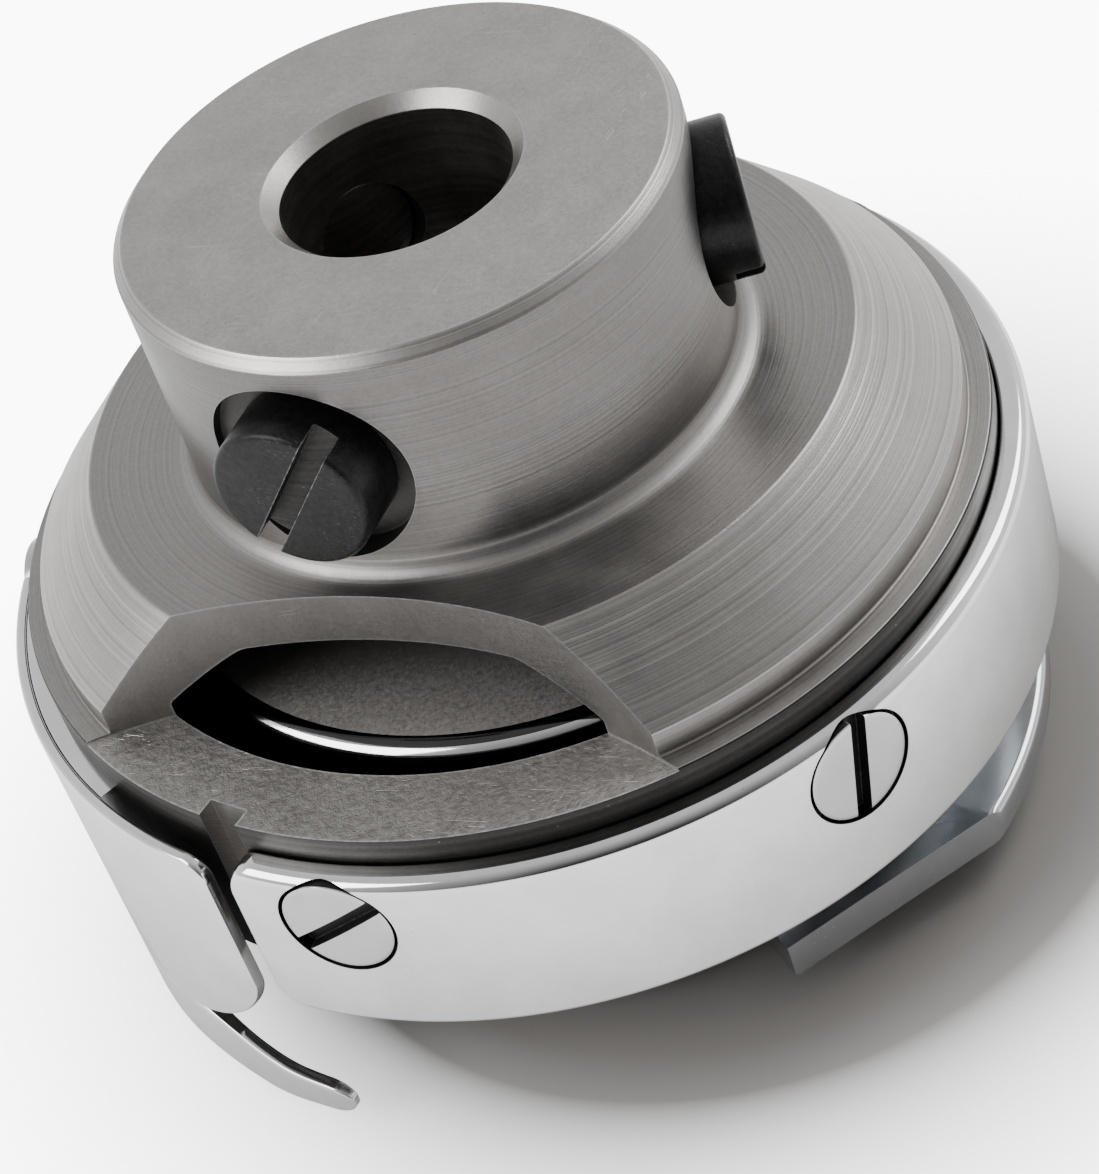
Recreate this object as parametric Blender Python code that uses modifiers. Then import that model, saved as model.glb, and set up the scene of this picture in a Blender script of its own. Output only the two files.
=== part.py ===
"""A rotary sewing hook with its bobbin case, standing on the case's face.

The hook's axis is Z.  The hub points up and the bobbin case's face lies at
height zero.  Every length below is in millimetres and becomes metres when a
mesh is made; every azimuth is in degrees about Z, with zero along +X.
"""

from math import cos, pi, radians, sin

import bmesh
import bpy
from mathutils import Matrix, Vector

MM = 0.001
SEGMENTS = 72          # sides of every large turned piece
INNER_SEGMENTS = 40    # sides of the bobbin, the post and the brake disc
SMALL_SIDES = 24       # sides of screws, pins and their holes

# Hook body, heights measured up from the case's face
HUB_TOP = 28.2
HUB_RADIUS = 9.7
BORE_RADIUS = 3.97     # a 5/16 inch hook shaft
BORE_CHAMFER = 0.4
SHOULDER_Z = 19.3
SHOULDER_RADIUS = 13.6
FILLET = 0.8
CONE_FOOT_Z = 16.1
CONE_FOOT_RADIUS = 16.6
LEDGE_Z = 15.1
RIM_RADIUS = 17.45
CAVITY_RADIUS = 14.6
CEILING_Z = 17.3
CEILING_RADIUS = 12.4
CAVITY_CONE_Z = 15.6

# Race: the ring groove that the holder's rib runs in
RACE_RADIUS = 16.35
RACE_TOP_Z = 10.3
LIP_TOP_Z = 8.2
LIP_RADIUS = 15.2
BAND_FRONT_Z = 7.1
BAND_REAR_Z = 14.0
BAND_RADIUS = 18.5
BAND_INNER = 17.5
GAP = 0.05             # between fixed pieces that touch on the real hook
RUN_GAP = 0.08         # between pieces that run on each other

# Azimuths around the rim
GIB_FROM, GIB_TO = -134.0, 95.0
ARM_FROM, ARM_TO = 97.0, 205.0
ROOT_TO = 138.0
PLATE_FROM, PLATE_TO = 140.0, 222.5
TIP = 228.0

# Arm and hook point
ARM_INNER, ARM_OUTER = 17.5, 18.05
ARM_FRONT_Z = 0.6
POINT_REAR_Z = 2.6
PLATE_FRONT_Z = 3.6
PLATE_REAR_Z = 13.6

# Milled window
WINDOW_AZIMUTH = -120.7
WINDOW_CUTTER_RADIUS = 20.0
WINDOW_WALL = 10.75    # distance of the window's back wall from the axis
WINDOW_FLOOR_Z = 15.0

# Screws
HUB_SCREW_AZIMUTHS = (-127.0, -7.0, 113.0)
HUB_SCREW_Z = HUB_TOP - 4.65
HUB_SCREW_SLOT_TURN = (-36.0, -50.0, 10.0)
HUB_HEAD_RADIUS = 2.75
HUB_HEAD_FROM, HUB_HEAD_TO = 8.7, 10.9
HUB_SHANK_RADIUS = 2.0
SPOT_FACE_RADIUS = 3.55
GIB_SCREW_AZIMUTHS = (-122.5, -65.5, 30.0)
PLATE_SCREW_AZIMUTHS = (147.0, 160.0)
BAND_SCREW_Z = 11.9
BAND_SCREW_TURN = (-56.0, -10.0, 25.0, 40.0, 75.0)
BAND_HEAD_RADIUS = 2.0
BAND_SHANK_RADIUS = 1.15
BAND_HEAD_DEPTH = 0.55
BAND_HEAD_TOP = BAND_RADIUS - 0.03
BAND_SEAT = BAND_HEAD_TOP - BAND_HEAD_DEPTH - 0.02

# Bobbin case holder
CUP_OUTER = 12.9
CUP_INNER = 11.62
CUP_TOP_Z = 14.2
CUP_FLOOR_Z = 12.8
RIB_RADIUS = 16.2
FLANGE_RADIUS = 17.3
FLANGE_REAR_Z, FLANGE_FRONT_Z = 2.9, 1.4
FLANGE_FROM, FLANGE_TO = -100.0, 165.0
POST_RADIUS = 1.95
NOTCH_HALF = 1.3

# Bobbin case
CASE_RADIUS = 11.4
CASE_WALL = 0.7
CASE_TOP_Z = 11.8
FACE_THICKNESS = 2.4
TUBE_OUTER, TUBE_INNER = 3.0, 2.1
CHANNEL_DEPTH = 1.6
CHANNEL_HALF = 3.5
PIVOT_X, PIVOT_Z = 9.6, 0.6
PIN_RADIUS = 0.28
LEAF_FROM, LEAF_TO = 20.0, 100.0
LEAF_Z = 7.0
LEAF_HEIGHT = 5.0
LEAF_INNER, LEAF_OUTER = 11.1, 11.36
TENSION_SCREW_AZIMUTH = 62.0
SPRING_SCREW_AZIMUTH = 28.0

# Bobbin
BOBBIN_LOW, BOBBIN_HIGH = 3.0, 11.6
BOBBIN_RADIUS = 10.4
CORE_OUTER, CORE_INNER = 4.2, 3.15
BOBBIN_FLANGE = 0.7


def clear_scene():
    for thing in list(bpy.data.objects):
        bpy.data.objects.remove(thing, do_unlink=True)


def make_collection(name):
    collection = bpy.data.collections.new(name)
    bpy.context.scene.collection.children.link(collection)
    return collection


clear_scene()
PARTS = make_collection("rotary_hook_and_bobbin_case")
CUTTERS = make_collection("cutters")
CUTTERS.hide_render = True


def metal(name, colour, metallic=1.0, roughness=0.35):
    """A Principled material of one colour."""
    material = bpy.data.materials.new(name)
    material.use_nodes = True
    shader = material.node_tree.nodes["Principled BSDF"]
    shader.inputs["Base Color"].default_value = (*colour, 1.0)
    shader.inputs["Metallic"].default_value = metallic
    shader.inputs["Roughness"].default_value = roughness
    return material


TURNED_STEEL = (0.42, 0.41, 0.39)
POLISHED_STEEL = (0.80, 0.80, 0.80)
BLACK_OXIDE = (0.03, 0.03, 0.035)
PLATED_STEEL = (0.62, 0.66, 0.70)
SPRING_STEEL = (0.55, 0.55, 0.58)
GREY_STEEL = (0.45, 0.45, 0.47)


def new_object(name, shape):
    """Turns a bmesh built in millimetres into an object measured in metres."""
    bmesh.ops.scale(shape, vec=(MM, MM, MM), verts=shape.verts)
    mesh = bpy.data.meshes.new(name)
    shape.to_mesh(mesh)
    shape.free()
    thing = bpy.data.objects.new(name, mesh)
    PARTS.objects.link(thing)
    return thing


def as_cutter(thing):
    """Moves a helper to the cutters' collection, out of the render."""
    PARTS.objects.unlink(thing)
    CUTTERS.objects.link(thing)
    thing.hide_render = True
    thing.display_type = "WIRE"
    return thing


def turned(name, outline, segments=SEGMENTS):
    """Spins a closed outline of (radius, height) points about Z.

    The outline runs down its outer side and back up its inner side.
    """
    shape = bmesh.new()
    ring = [shape.verts.new((radius, 0.0, height)) for radius, height in outline]
    touches_axis = outline[0][0] == 0.0 and outline[-1][0] == 0.0
    for first, second in zip(ring, ring[1:]):
        shape.edges.new((first, second))
    if not touches_axis:
        shape.edges.new((ring[-1], ring[0]))
    thing = new_object(name, shape)
    screw = thing.modifiers.new("Turn", "SCREW")
    screw.axis = "Z"
    screw.angle = 2.0 * pi
    screw.steps = screw.render_steps = segments
    screw.use_merge_vertices = True
    screw.merge_threshold = 1e-6
    return thing


def arc(centre_radius, centre_z, radius, start, end, steps=4):
    """Outline points along an arc; angles are in degrees from the +radius side."""
    turns = [radians(start + (end - start) * i / steps) for i in range(steps + 1)]
    return [(centre_radius + radius * cos(t), centre_z + radius * sin(t)) for t in turns]


def block(name, low, high):
    """An upright box between two corners."""
    shape = bmesh.new()
    size = [b - a for a, b in zip(low, high)]
    middle = [(a + b) / 2.0 for a, b in zip(low, high)]
    place = Matrix.Translation(middle) @ Matrix.Diagonal((*size, 1.0))
    bmesh.ops.create_cube(shape, size=1.0, matrix=place)
    return new_object(name, shape)


def rod(name, radius, start, direction, length, sides=SMALL_SIDES):
    """A cylinder from a start point along a direction."""
    shape = bmesh.new()
    along = Vector(direction).normalized()
    turn = along.to_track_quat("Z", "Y").to_matrix().to_4x4()
    middle = Vector(start) + along * (length / 2.0)
    bmesh.ops.create_cone(
        shape, cap_ends=True, segments=sides, radius1=radius, radius2=radius,
        depth=length, matrix=Matrix.Translation(middle) @ turn,
    )
    return new_object(name, shape)


def outward(azimuth):
    """The unit vector that points away from the axis at an azimuth."""
    return Vector((cos(radians(azimuth)), sin(radians(azimuth)), 0.0))


def radial_rod(name, radius, inner, outer, azimuth, height, sides=SMALL_SIDES):
    """A cylinder that points straight out from the axis."""
    direction = outward(azimuth)
    start = direction * inner + Vector((0.0, 0.0, height))
    return rod(name, radius, start, direction, outer - inner, sides)


def radial_bar(name, azimuth, height, inner, outer, width, length, turn):
    """A bar across a radial axis, turned about it: the cutter of a screw slot."""
    shape = bmesh.new()
    middle = (inner + outer) / 2.0
    place = (
        Matrix.Rotation(radians(azimuth), 4, "Z")
        @ Matrix.Translation((middle, 0.0, height))
        @ Matrix.Rotation(radians(turn), 4, "X")
        @ Matrix.Diagonal((outer - inner, width, length, 1.0))
    )
    bmesh.ops.create_cube(shape, size=1.0, matrix=place)
    return new_object(name, shape)


def prism(name, outline, low, high):
    """A flat outline of (x, y) points raised from one height to another."""
    shape = bmesh.new()
    face = shape.faces.new([shape.verts.new((x, y, low)) for x, y in outline])
    face.normal_update()
    raised = bmesh.ops.extrude_face_region(shape, geom=[face])
    new_verts = [v for v in raised["geom"] if isinstance(v, bmesh.types.BMVert)]
    bmesh.ops.translate(shape, vec=(0.0, 0.0, high - low), verts=new_verts)
    bmesh.ops.recalc_face_normals(shape, faces=shape.faces)
    return new_object(name, shape)


def sector(name, start, end, low, high, reach=30.0):
    """A pie slice about the axis, wide enough to hold the whole hook."""
    steps = max(2, int((end - start) / 15.0))
    rim = [outward(start + (end - start) * i / steps) * reach for i in range(steps + 1)]
    return prism(name, [(0.0, 0.0)] + [(p.x, p.y) for p in rim], low, high)


def boolean(thing, other, operation="DIFFERENCE"):
    """Adds an exact Boolean and puts the other object away as a cutter."""
    modifier = thing.modifiers.new(other.name, "BOOLEAN")
    modifier.operation = operation
    modifier.solver = "EXACT"
    modifier.object = as_cutter(other)
    return thing


def ring_slice(name, outline, start, end, low=-5.0, high=40.0):
    """A turned ring of which only the slice between two azimuths is kept."""
    ring = turned(name, outline)
    return boolean(ring, sector(name + "_slice", start, end, low, high), "INTERSECT")


def tube(outer, inner, high, low):
    """The outline of a plain ring, in the order that turned() wants."""
    return [(outer, high), (outer, low), (inner, low), (inner, high)]


def finish(thing, material):
    """Gives a piece its material and smooth round faces."""
    thing.data.materials.append(material)
    thing.data.shade_smooth()
    return thing


def body_outline():
    hub = HUB_RADIUS
    fillet = arc(hub + FILLET, SHOULDER_Z + FILLET, FILLET, 180.0, 270.0)
    return [
        (hub - 0.25, HUB_TOP),
        (hub, HUB_TOP - 0.25),
        *fillet,
        (SHOULDER_RADIUS, SHOULDER_Z),
        (CONE_FOOT_RADIUS, CONE_FOOT_Z),
        (CONE_FOOT_RADIUS, LEDGE_Z),
        (RIM_RADIUS, LEDGE_Z),
        (RIM_RADIUS, LIP_TOP_Z + GAP),
        (RACE_RADIUS, LIP_TOP_Z + GAP),
        (RACE_RADIUS, RACE_TOP_Z),
        (CAVITY_RADIUS, RACE_TOP_Z),
        (CAVITY_RADIUS, CAVITY_CONE_Z),
        (CEILING_RADIUS, CEILING_Z),
        (BORE_RADIUS, CEILING_Z),
        (BORE_RADIUS, HUB_TOP - BORE_CHAMFER),
        (BORE_RADIUS + BORE_CHAMFER, HUB_TOP),
    ]


def point_finger():
    """The thin finger at the front of the arm, tapered to the hook point."""
    outline = tube(BAND_RADIUS, ARM_INNER, POINT_REAR_Z, ARM_FRONT_Z)
    finger = ring_slice("point_finger", outline, ROOT_TO - 1.0, TIP)
    taper = radial_bar("point_taper", TIP - 2.0, ARM_FRONT_Z - 1.05, 15.0, 21.0, 14.0, 3.0, 13.0)
    return boolean(finger, taper)


def hook_body():
    """Hub, shoulder, cone, rim and race, with the arm that carries the point."""
    body = turned("hook_body", body_outline())
    lip = tube(RIM_RADIUS - 0.2, LIP_RADIUS, LIP_TOP_Z, BAND_FRONT_Z)
    lip = ring_slice("fixed_lip", lip, ARM_FROM, ARM_TO)
    arm = [
        (ARM_OUTER, PLATE_REAR_Z), (ARM_OUTER, ARM_FRONT_Z), (ARM_INNER, ARM_FRONT_Z),
        (ARM_INNER, BAND_FRONT_Z), (RIM_RADIUS - 0.4, BAND_FRONT_Z),
        (RIM_RADIUS - 0.4, PLATE_REAR_Z),
    ]
    arm = ring_slice("arm", arm, ARM_FROM, ARM_TO)
    root = tube(BAND_RADIUS, ARM_INNER - 0.1, BAND_REAR_Z, ARM_FRONT_Z)
    root = ring_slice("arm_root", root, ARM_FROM, ROOT_TO)
    for piece in (arm, lip, root, point_finger()):
        boolean(body, piece, "UNION")

    centre = outward(WINDOW_AZIMUTH) * (WINDOW_WALL + WINDOW_CUTTER_RADIUS)
    start = centre + Vector((0.0, 0.0, WINDOW_FLOOR_Z))
    boolean(body, rod("window_cutter", WINDOW_CUTTER_RADIUS, start, (0, 0, 1), 12.0, 96))
    boolean(body, radial_bar("slit_notch", -135.6, 12.0, 16.75, 19.0, 1.5, 12.0, 0.0))
    for i, azimuth in enumerate(HUB_SCREW_AZIMUTHS):
        spot = radial_rod(
            f"spot_face_{i}", SPOT_FACE_RADIUS, HUB_HEAD_FROM - GAP, 14.0, azimuth, HUB_SCREW_Z)
        hole = radial_rod(
            f"hub_hole_{i}", HUB_SHANK_RADIUS + GAP, 2.0, 12.0, azimuth, HUB_SCREW_Z)
        boolean(body, spot)
        boolean(body, hole)
    for i, azimuth in enumerate(GIB_SCREW_AZIMUTHS + PLATE_SCREW_AZIMUTHS):
        hole = radial_rod(
            f"rim_hole_{i}", BAND_SHANK_RADIUS + GAP, CAVITY_RADIUS - 2.0, 20.0, azimuth,
            BAND_SCREW_Z)
        seat = radial_rod(
            f"rim_seat_{i}", BAND_HEAD_RADIUS + GAP, BAND_SEAT, 20.0, azimuth, BAND_SCREW_Z)
        boolean(body, hole)
        boolean(body, seat)
    return finish(body, metal("turned_steel", TURNED_STEEL, 1.0, 0.42))


def hub_screw(number, azimuth, slot_turn):
    """A cheese-head screw that clamps the hub on its shaft."""
    name = f"hub_screw_{number}"
    screw = radial_rod(name, HUB_HEAD_RADIUS, HUB_HEAD_FROM, HUB_HEAD_TO, azimuth, HUB_SCREW_Z)
    shank = radial_rod(
        name + "_shank", HUB_SHANK_RADIUS, BORE_RADIUS + 0.35, HUB_HEAD_TO - 1.5, azimuth,
        HUB_SCREW_Z)
    boolean(screw, shank, "UNION")
    slot = radial_bar(
        name + "_slot", azimuth, HUB_SCREW_Z, HUB_HEAD_TO - 1.0, HUB_HEAD_TO + 1.0, 0.85,
        3.0 * HUB_HEAD_RADIUS, slot_turn)
    boolean(screw, slot)
    return finish(screw, metal(name + "_black", BLACK_OXIDE, 0.4, 0.45))


def band_screw(name, azimuth, slot_turn):
    """A flush screw that holds the gib or the guard plate on the rim."""
    top = BAND_HEAD_TOP
    screw = radial_rod(name, BAND_HEAD_RADIUS, top - BAND_HEAD_DEPTH, top, azimuth, BAND_SCREW_Z)
    shank = radial_rod(
        name + "_shank", BAND_SHANK_RADIUS, CAVITY_RADIUS + 0.4, top - 0.2, azimuth, BAND_SCREW_Z)
    boolean(screw, shank, "UNION")
    slot = radial_bar(
        name + "_slot", azimuth, BAND_SCREW_Z, top - 0.35, top + 1.0, 0.6,
        3.0 * BAND_HEAD_RADIUS, slot_turn)
    boolean(screw, slot)
    return finish(screw, metal(name + "_steel", POLISHED_STEEL, 1.0, 0.2))


def screw_seats(band, azimuths, seat_inner, clearance):
    """Stepped holes for flush screws through a curved band."""
    for i, azimuth in enumerate(azimuths):
        seat = radial_rod(
            f"{band.name}_seat_{i}", BAND_HEAD_RADIUS + GAP, BAND_SEAT, 20.0, azimuth,
            BAND_SCREW_Z)
        hole = radial_rod(
            f"{band.name}_hole_{i}", BAND_SHANK_RADIUS + clearance, seat_inner, 20.0, azimuth,
            BAND_SCREW_Z)
        boolean(band, seat)
        boolean(band, hole)


def gib():
    """The polished band that closes the race from the front, with its inward lip."""
    outline = [
        *arc(BAND_RADIUS - 0.45, BAND_REAR_Z - 0.45, 0.45, 90.0, 0.0),
        (BAND_RADIUS, BAND_FRONT_Z + 0.25),
        (BAND_RADIUS - 0.25, BAND_FRONT_Z),
        (LIP_RADIUS, BAND_FRONT_Z),
        (LIP_RADIUS, LIP_TOP_Z),
        (BAND_INNER, LIP_TOP_Z),
        (BAND_INNER, BAND_REAR_Z),
    ]
    band = ring_slice("gib", outline, GIB_FROM, GIB_TO)
    screw_seats(band, GIB_SCREW_AZIMUTHS, 16.0, GAP)
    return finish(band, metal("polished_band", POLISHED_STEEL, 1.0, 0.12))


def guard_plate():
    """The thin polished plate over the arm, with a slanted corner at the throat."""
    outline = tube(BAND_RADIUS, ARM_OUTER + 0.03, PLATE_REAR_Z, PLATE_FRONT_Z)
    plate = ring_slice("guard_plate", outline, PLATE_FROM, PLATE_TO)
    corner = radial_bar("plate_corner", 219.1, 3.86, 15.0, 21.0, 14.0, 5.0, 39.0)
    boolean(plate, corner)
    for i, azimuth in enumerate(PLATE_SCREW_AZIMUTHS):
        hole = radial_rod(
            f"plate_hole_{i}", BAND_HEAD_RADIUS + GAP, 16.0, 20.0, azimuth, BAND_SCREW_Z)
        boolean(plate, hole)
    return finish(plate, metal("polished_plate", POLISHED_STEEL, 1.0, 0.14))


def holder():
    """The stationary cup whose rib runs in the race, with its flange."""
    outline = [
        *arc(CUP_OUTER - 0.8, CUP_TOP_Z - 0.8, 0.8, 90.0, 0.0),
        (CUP_OUTER, RACE_TOP_Z - RUN_GAP),
        (RIB_RADIUS, RACE_TOP_Z - RUN_GAP),
        (RIB_RADIUS, LIP_TOP_Z + RUN_GAP),
        (CUP_OUTER, LIP_TOP_Z + RUN_GAP),
        (CUP_OUTER, FLANGE_FRONT_Z),
        (CUP_INNER, FLANGE_FRONT_Z),
        (CUP_INNER, CUP_FLOOR_Z),
        (POST_RADIUS + 0.03, CUP_FLOOR_Z),
        (POST_RADIUS + 0.03, CUP_TOP_Z),
    ]
    cup = turned("bobbin_case_holder", outline)
    flange = tube(FLANGE_RADIUS, CUP_INNER + 0.4, FLANGE_REAR_Z, FLANGE_FRONT_Z)
    flange = ring_slice("flange", flange, FLANGE_FROM, FLANGE_TO)
    chord = block("flange_chord", (15.3, -20.0, -2.0), (30.0, 20.0, 7.0))
    chord.rotation_euler.z = radians(-72.0)
    boolean(flange, chord)
    tail = sector("flange_tail", -120.0, -76.0, -2.0, 7.0)
    hub = rod("flange_tail_keep", CUP_OUTER + 0.3, (0, 0, -3.0), (0, 0, 1), 11.0, SEGMENTS)
    boolean(tail, hub)
    boolean(flange, tail)
    boolean(cup, flange, "UNION")
    notch = block("finger_notch", (-NOTCH_HALF, 10.0, 0.0), (NOTCH_HALF, 14.0, 2.8))
    boolean(cup, notch)
    return finish(cup, metal("plated_holder", PLATED_STEEL, 1.0, 0.3))


def centre_post():
    """The stud that the case's tube slides on, with its latch groove."""
    outline = [
        (0.0, CUP_TOP_Z - 0.1), (POST_RADIUS, CUP_TOP_Z - 0.1), (POST_RADIUS, 2.6),
        (POST_RADIUS - 0.35, 2.4), (POST_RADIUS - 0.35, 1.8), (POST_RADIUS, 1.6),
        (POST_RADIUS - 0.3, 1.05), (0.0, 1.05),
    ]
    post = turned("centre_post", outline, INNER_SEGMENTS)
    return finish(post, metal("post_steel", GREY_STEEL, 1.0, 0.25))


def case_body():
    """The cup that holds the bobbin, with its face plate, tube and locating finger."""
    wall_inner = CASE_RADIUS - CASE_WALL
    outline = [
        (CASE_RADIUS, CASE_TOP_Z), (CASE_RADIUS, 0.3), (CASE_RADIUS - 0.3, 0.0),
        (TUBE_INNER, 0.0), (TUBE_INNER, BOBBIN_HIGH), (TUBE_OUTER, BOBBIN_HIGH),
        (TUBE_OUTER, FACE_THICKNESS), (wall_inner, FACE_THICKNESS), (wall_inner, CASE_TOP_Z),
    ]
    body = turned("case_body", outline)
    finger = block("locating_finger", (-1.1, CASE_RADIUS - 0.4, 0.6), (1.1, 13.4, 2.3))
    boolean(body, finger, "UNION")
    channel = block(
        "latch_channel", (-8.5, -CHANNEL_HALF, -1.0), (14.0, CHANNEL_HALF, CHANNEL_DEPTH))
    boolean(body, channel)
    pin_hole = rod("pin_hole", PIN_RADIUS + 0.03, (PIVOT_X, -4.9, PIVOT_Z), (0, 1, 0), 9.8, 16)
    boolean(body, pin_hole)
    seat = tube(CASE_RADIUS + 1.0, LEAF_INNER - 0.03, LEAF_Z + LEAF_HEIGHT / 2 + 0.1,
                LEAF_Z - LEAF_HEIGHT / 2 - 0.1)
    seat = ring_slice("leaf_seat", seat, LEAF_FROM - 1.0, LEAF_TO + 1.0)
    boolean(body, seat)
    for name, azimuth in (("tension", TENSION_SCREW_AZIMUTH), ("spring", SPRING_SCREW_AZIMUTH)):
        hole = radial_rod(f"{name}_screw_hole", 0.5, 9.0, 13.0, azimuth, LEAF_Z, 16)
        boolean(body, hole)
    return finish(body, metal("case_steel", PLATED_STEEL, 1.0, 0.28))


def tension_spring():
    """The curved leaf that presses on the thread."""
    outline = tube(LEAF_OUTER, LEAF_INNER, LEAF_Z + LEAF_HEIGHT / 2, LEAF_Z - LEAF_HEIGHT / 2)
    leaf = ring_slice("tension_spring", outline, LEAF_FROM, LEAF_TO)
    for name, azimuth in (("tension", TENSION_SCREW_AZIMUTH), ("spring", SPRING_SCREW_AZIMUTH)):
        hole = radial_rod(f"{name}_leaf_hole", 0.5, 9.0, 13.0, azimuth, LEAF_Z, 16)
        boolean(leaf, hole)
    return finish(leaf, metal("spring_steel", SPRING_STEEL, 1.0, 0.22))


def case_screw(name, azimuth, radius, turn):
    """A tiny slotted screw through the leaf into the case wall."""
    under_head = LEAF_OUTER + 0.02
    screw = radial_rod(name, radius, under_head, CASE_RADIUS + 0.14, azimuth, LEAF_Z, 16)
    shank = radial_rod(name + "_shank", 0.46, 10.75, under_head + 0.05, azimuth, LEAF_Z, 16)
    boolean(screw, shank, "UNION")
    slot = radial_bar(
        name + "_slot", azimuth, LEAF_Z, CASE_RADIUS + 0.05, CASE_RADIUS + 1.0, 0.25,
        4.0 * radius, turn)
    boolean(screw, slot)
    return finish(screw, metal(name + "_steel", GREY_STEEL, 1.0, 0.3))


def latch_slide():
    """The plate under the lever that moves across the face, clear of the post."""
    plate = block("latch_slide", (-8.3, -3.2, 0.85), (7.3, 3.2, 1.4))
    boolean(plate, block("post_slot", (-3.75, -2.3, 0.0), (2.3, 2.3, 3.0)))
    boolean(plate, block("spring_slot", (-7.9, -0.7, 0.0), (-4.25, 0.7, 3.0)))
    return finish(plate, metal("slide_steel", PLATED_STEEL, 1.0, 0.3))


def latch_lever():
    """The flap that lifts to pull the case out."""
    lever = block("latch_lever", (-5.0, -3.2, 0.15), (PIVOT_X, 3.2, 0.65))
    knuckle = rod("lever_knuckle", 0.55, (PIVOT_X, -3.2, PIVOT_Z), (0, 1, 0), 6.4, 16)
    boolean(lever, knuckle, "UNION")
    bore = rod("lever_bore", PIN_RADIUS + 0.03, (PIVOT_X, -4.0, PIVOT_Z), (0, 1, 0), 8.0, 16)
    boolean(lever, bore)
    set_origin(lever, (PIVOT_X, 0.0, PIVOT_Z))
    return finish(lever, metal("lever_steel", PLATED_STEEL, 1.0, 0.25))


def set_origin(thing, point):
    """Moves an object's origin to a point without moving the object."""
    shift = Vector(point) * MM
    thing.data.transform(Matrix.Translation(-shift))
    thing.location = shift


def latch_pin():
    pin = rod("latch_pin", PIN_RADIUS, (PIVOT_X, -4.8, PIVOT_Z), (0, 1, 0), 9.6, 16)
    return finish(pin, metal("pin_steel", GREY_STEEL, 1.0, 0.3))


def latch_spring():
    """A small coil that pushes the slide back; shown at its pressed length."""
    turns, points_per_turn = 5, 10
    radius, start, length, height = 0.28, -6.25, 1.8, 1.12
    count = turns * points_per_turn + 1
    curve = bpy.data.curves.new("latch_spring", "CURVE")
    curve.dimensions = "3D"
    curve.bevel_depth = 0.08 * MM
    curve.bevel_resolution = 1
    curve.use_fill_caps = True
    spline = curve.splines.new("POLY")
    spline.points.add(count - 1)
    for i, point in enumerate(spline.points):
        angle = 2.0 * pi * i / points_per_turn
        spot = Vector((start + length * i / (count - 1), radius * cos(angle),
                       height + radius * sin(angle)))
        point.co = (*(spot * MM), 1.0)
    thing = bpy.data.objects.new("latch_spring", curve)
    PARTS.objects.link(thing)
    curve.materials.append(metal("latch_spring_wire", SPRING_STEEL, 1.0, 0.3))
    return thing


def brake_spring():
    """The thin disc that stops the bobbin from over-running."""
    outline = tube(7.6, TUBE_OUTER + 0.1, FACE_THICKNESS + 0.35, FACE_THICKNESS + 0.1)
    disc = turned("brake_spring", outline, INNER_SEGMENTS)
    return finish(disc, metal("brake_steel", SPRING_STEEL, 1.0, 0.25))


def bobbin_core():
    outline = tube(CORE_OUTER, CORE_INNER, BOBBIN_HIGH, BOBBIN_LOW)
    core = turned("bobbin_core", outline, INNER_SEGMENTS)
    return finish(core, metal("core_steel", PLATED_STEEL, 1.0, 0.3))


def bobbin_flange(name, low):
    outline = tube(BOBBIN_RADIUS, CORE_OUTER + 0.02, low + BOBBIN_FLANGE, low)
    flange = turned(name, outline, INNER_SEGMENTS)
    return finish(flange, metal(name + "_steel", PLATED_STEEL, 1.0, 0.3))


hook_body()
gib()
guard_plate()
for number, (azimuth, turn) in enumerate(zip(HUB_SCREW_AZIMUTHS, HUB_SCREW_SLOT_TURN), 1):
    hub_screw(number, azimuth, turn)
for number, azimuth in enumerate(GIB_SCREW_AZIMUTHS, 1):
    band_screw(f"gib_screw_{number}", azimuth, BAND_SCREW_TURN[number - 1])
for number, azimuth in enumerate(PLATE_SCREW_AZIMUTHS, 1):
    band_screw(f"plate_screw_{number}", azimuth, BAND_SCREW_TURN[number + 2])
holder()
centre_post()
case_body()
tension_spring()
case_screw("tension_screw", TENSION_SCREW_AZIMUTH, 1.1, 20.0)
case_screw("spring_screw", SPRING_SCREW_AZIMUTH, 0.9, 50.0)
latch_slide()
latch_lever()
latch_pin()
latch_spring()
brake_spring()
bobbin_core()
bobbin_flange("bobbin_flange_front", BOBBIN_LOW)
bobbin_flange("bobbin_flange_rear", BOBBIN_HIGH - BOBBIN_FLANGE)
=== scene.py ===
# %% [markdown]
# # A rotary sewing hook with its bobbin case
# A rotary hook turns once or twice for each stitch of a sewing machine. Its
# point catches the needle's loop and throws it round the bobbin, which sits
# still inside. Here it stands on the face of its bobbin case, with the hub
# that clamps it to the machine's shaft on top.
#
# Everything below is worked out in millimetres, with the hook's axis along Z
# and azimuths in degrees from +X, and becomes metres only when a mesh is made.

import bmesh
import bpy
import numpy as np
from mathutils import Matrix, Vector


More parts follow.
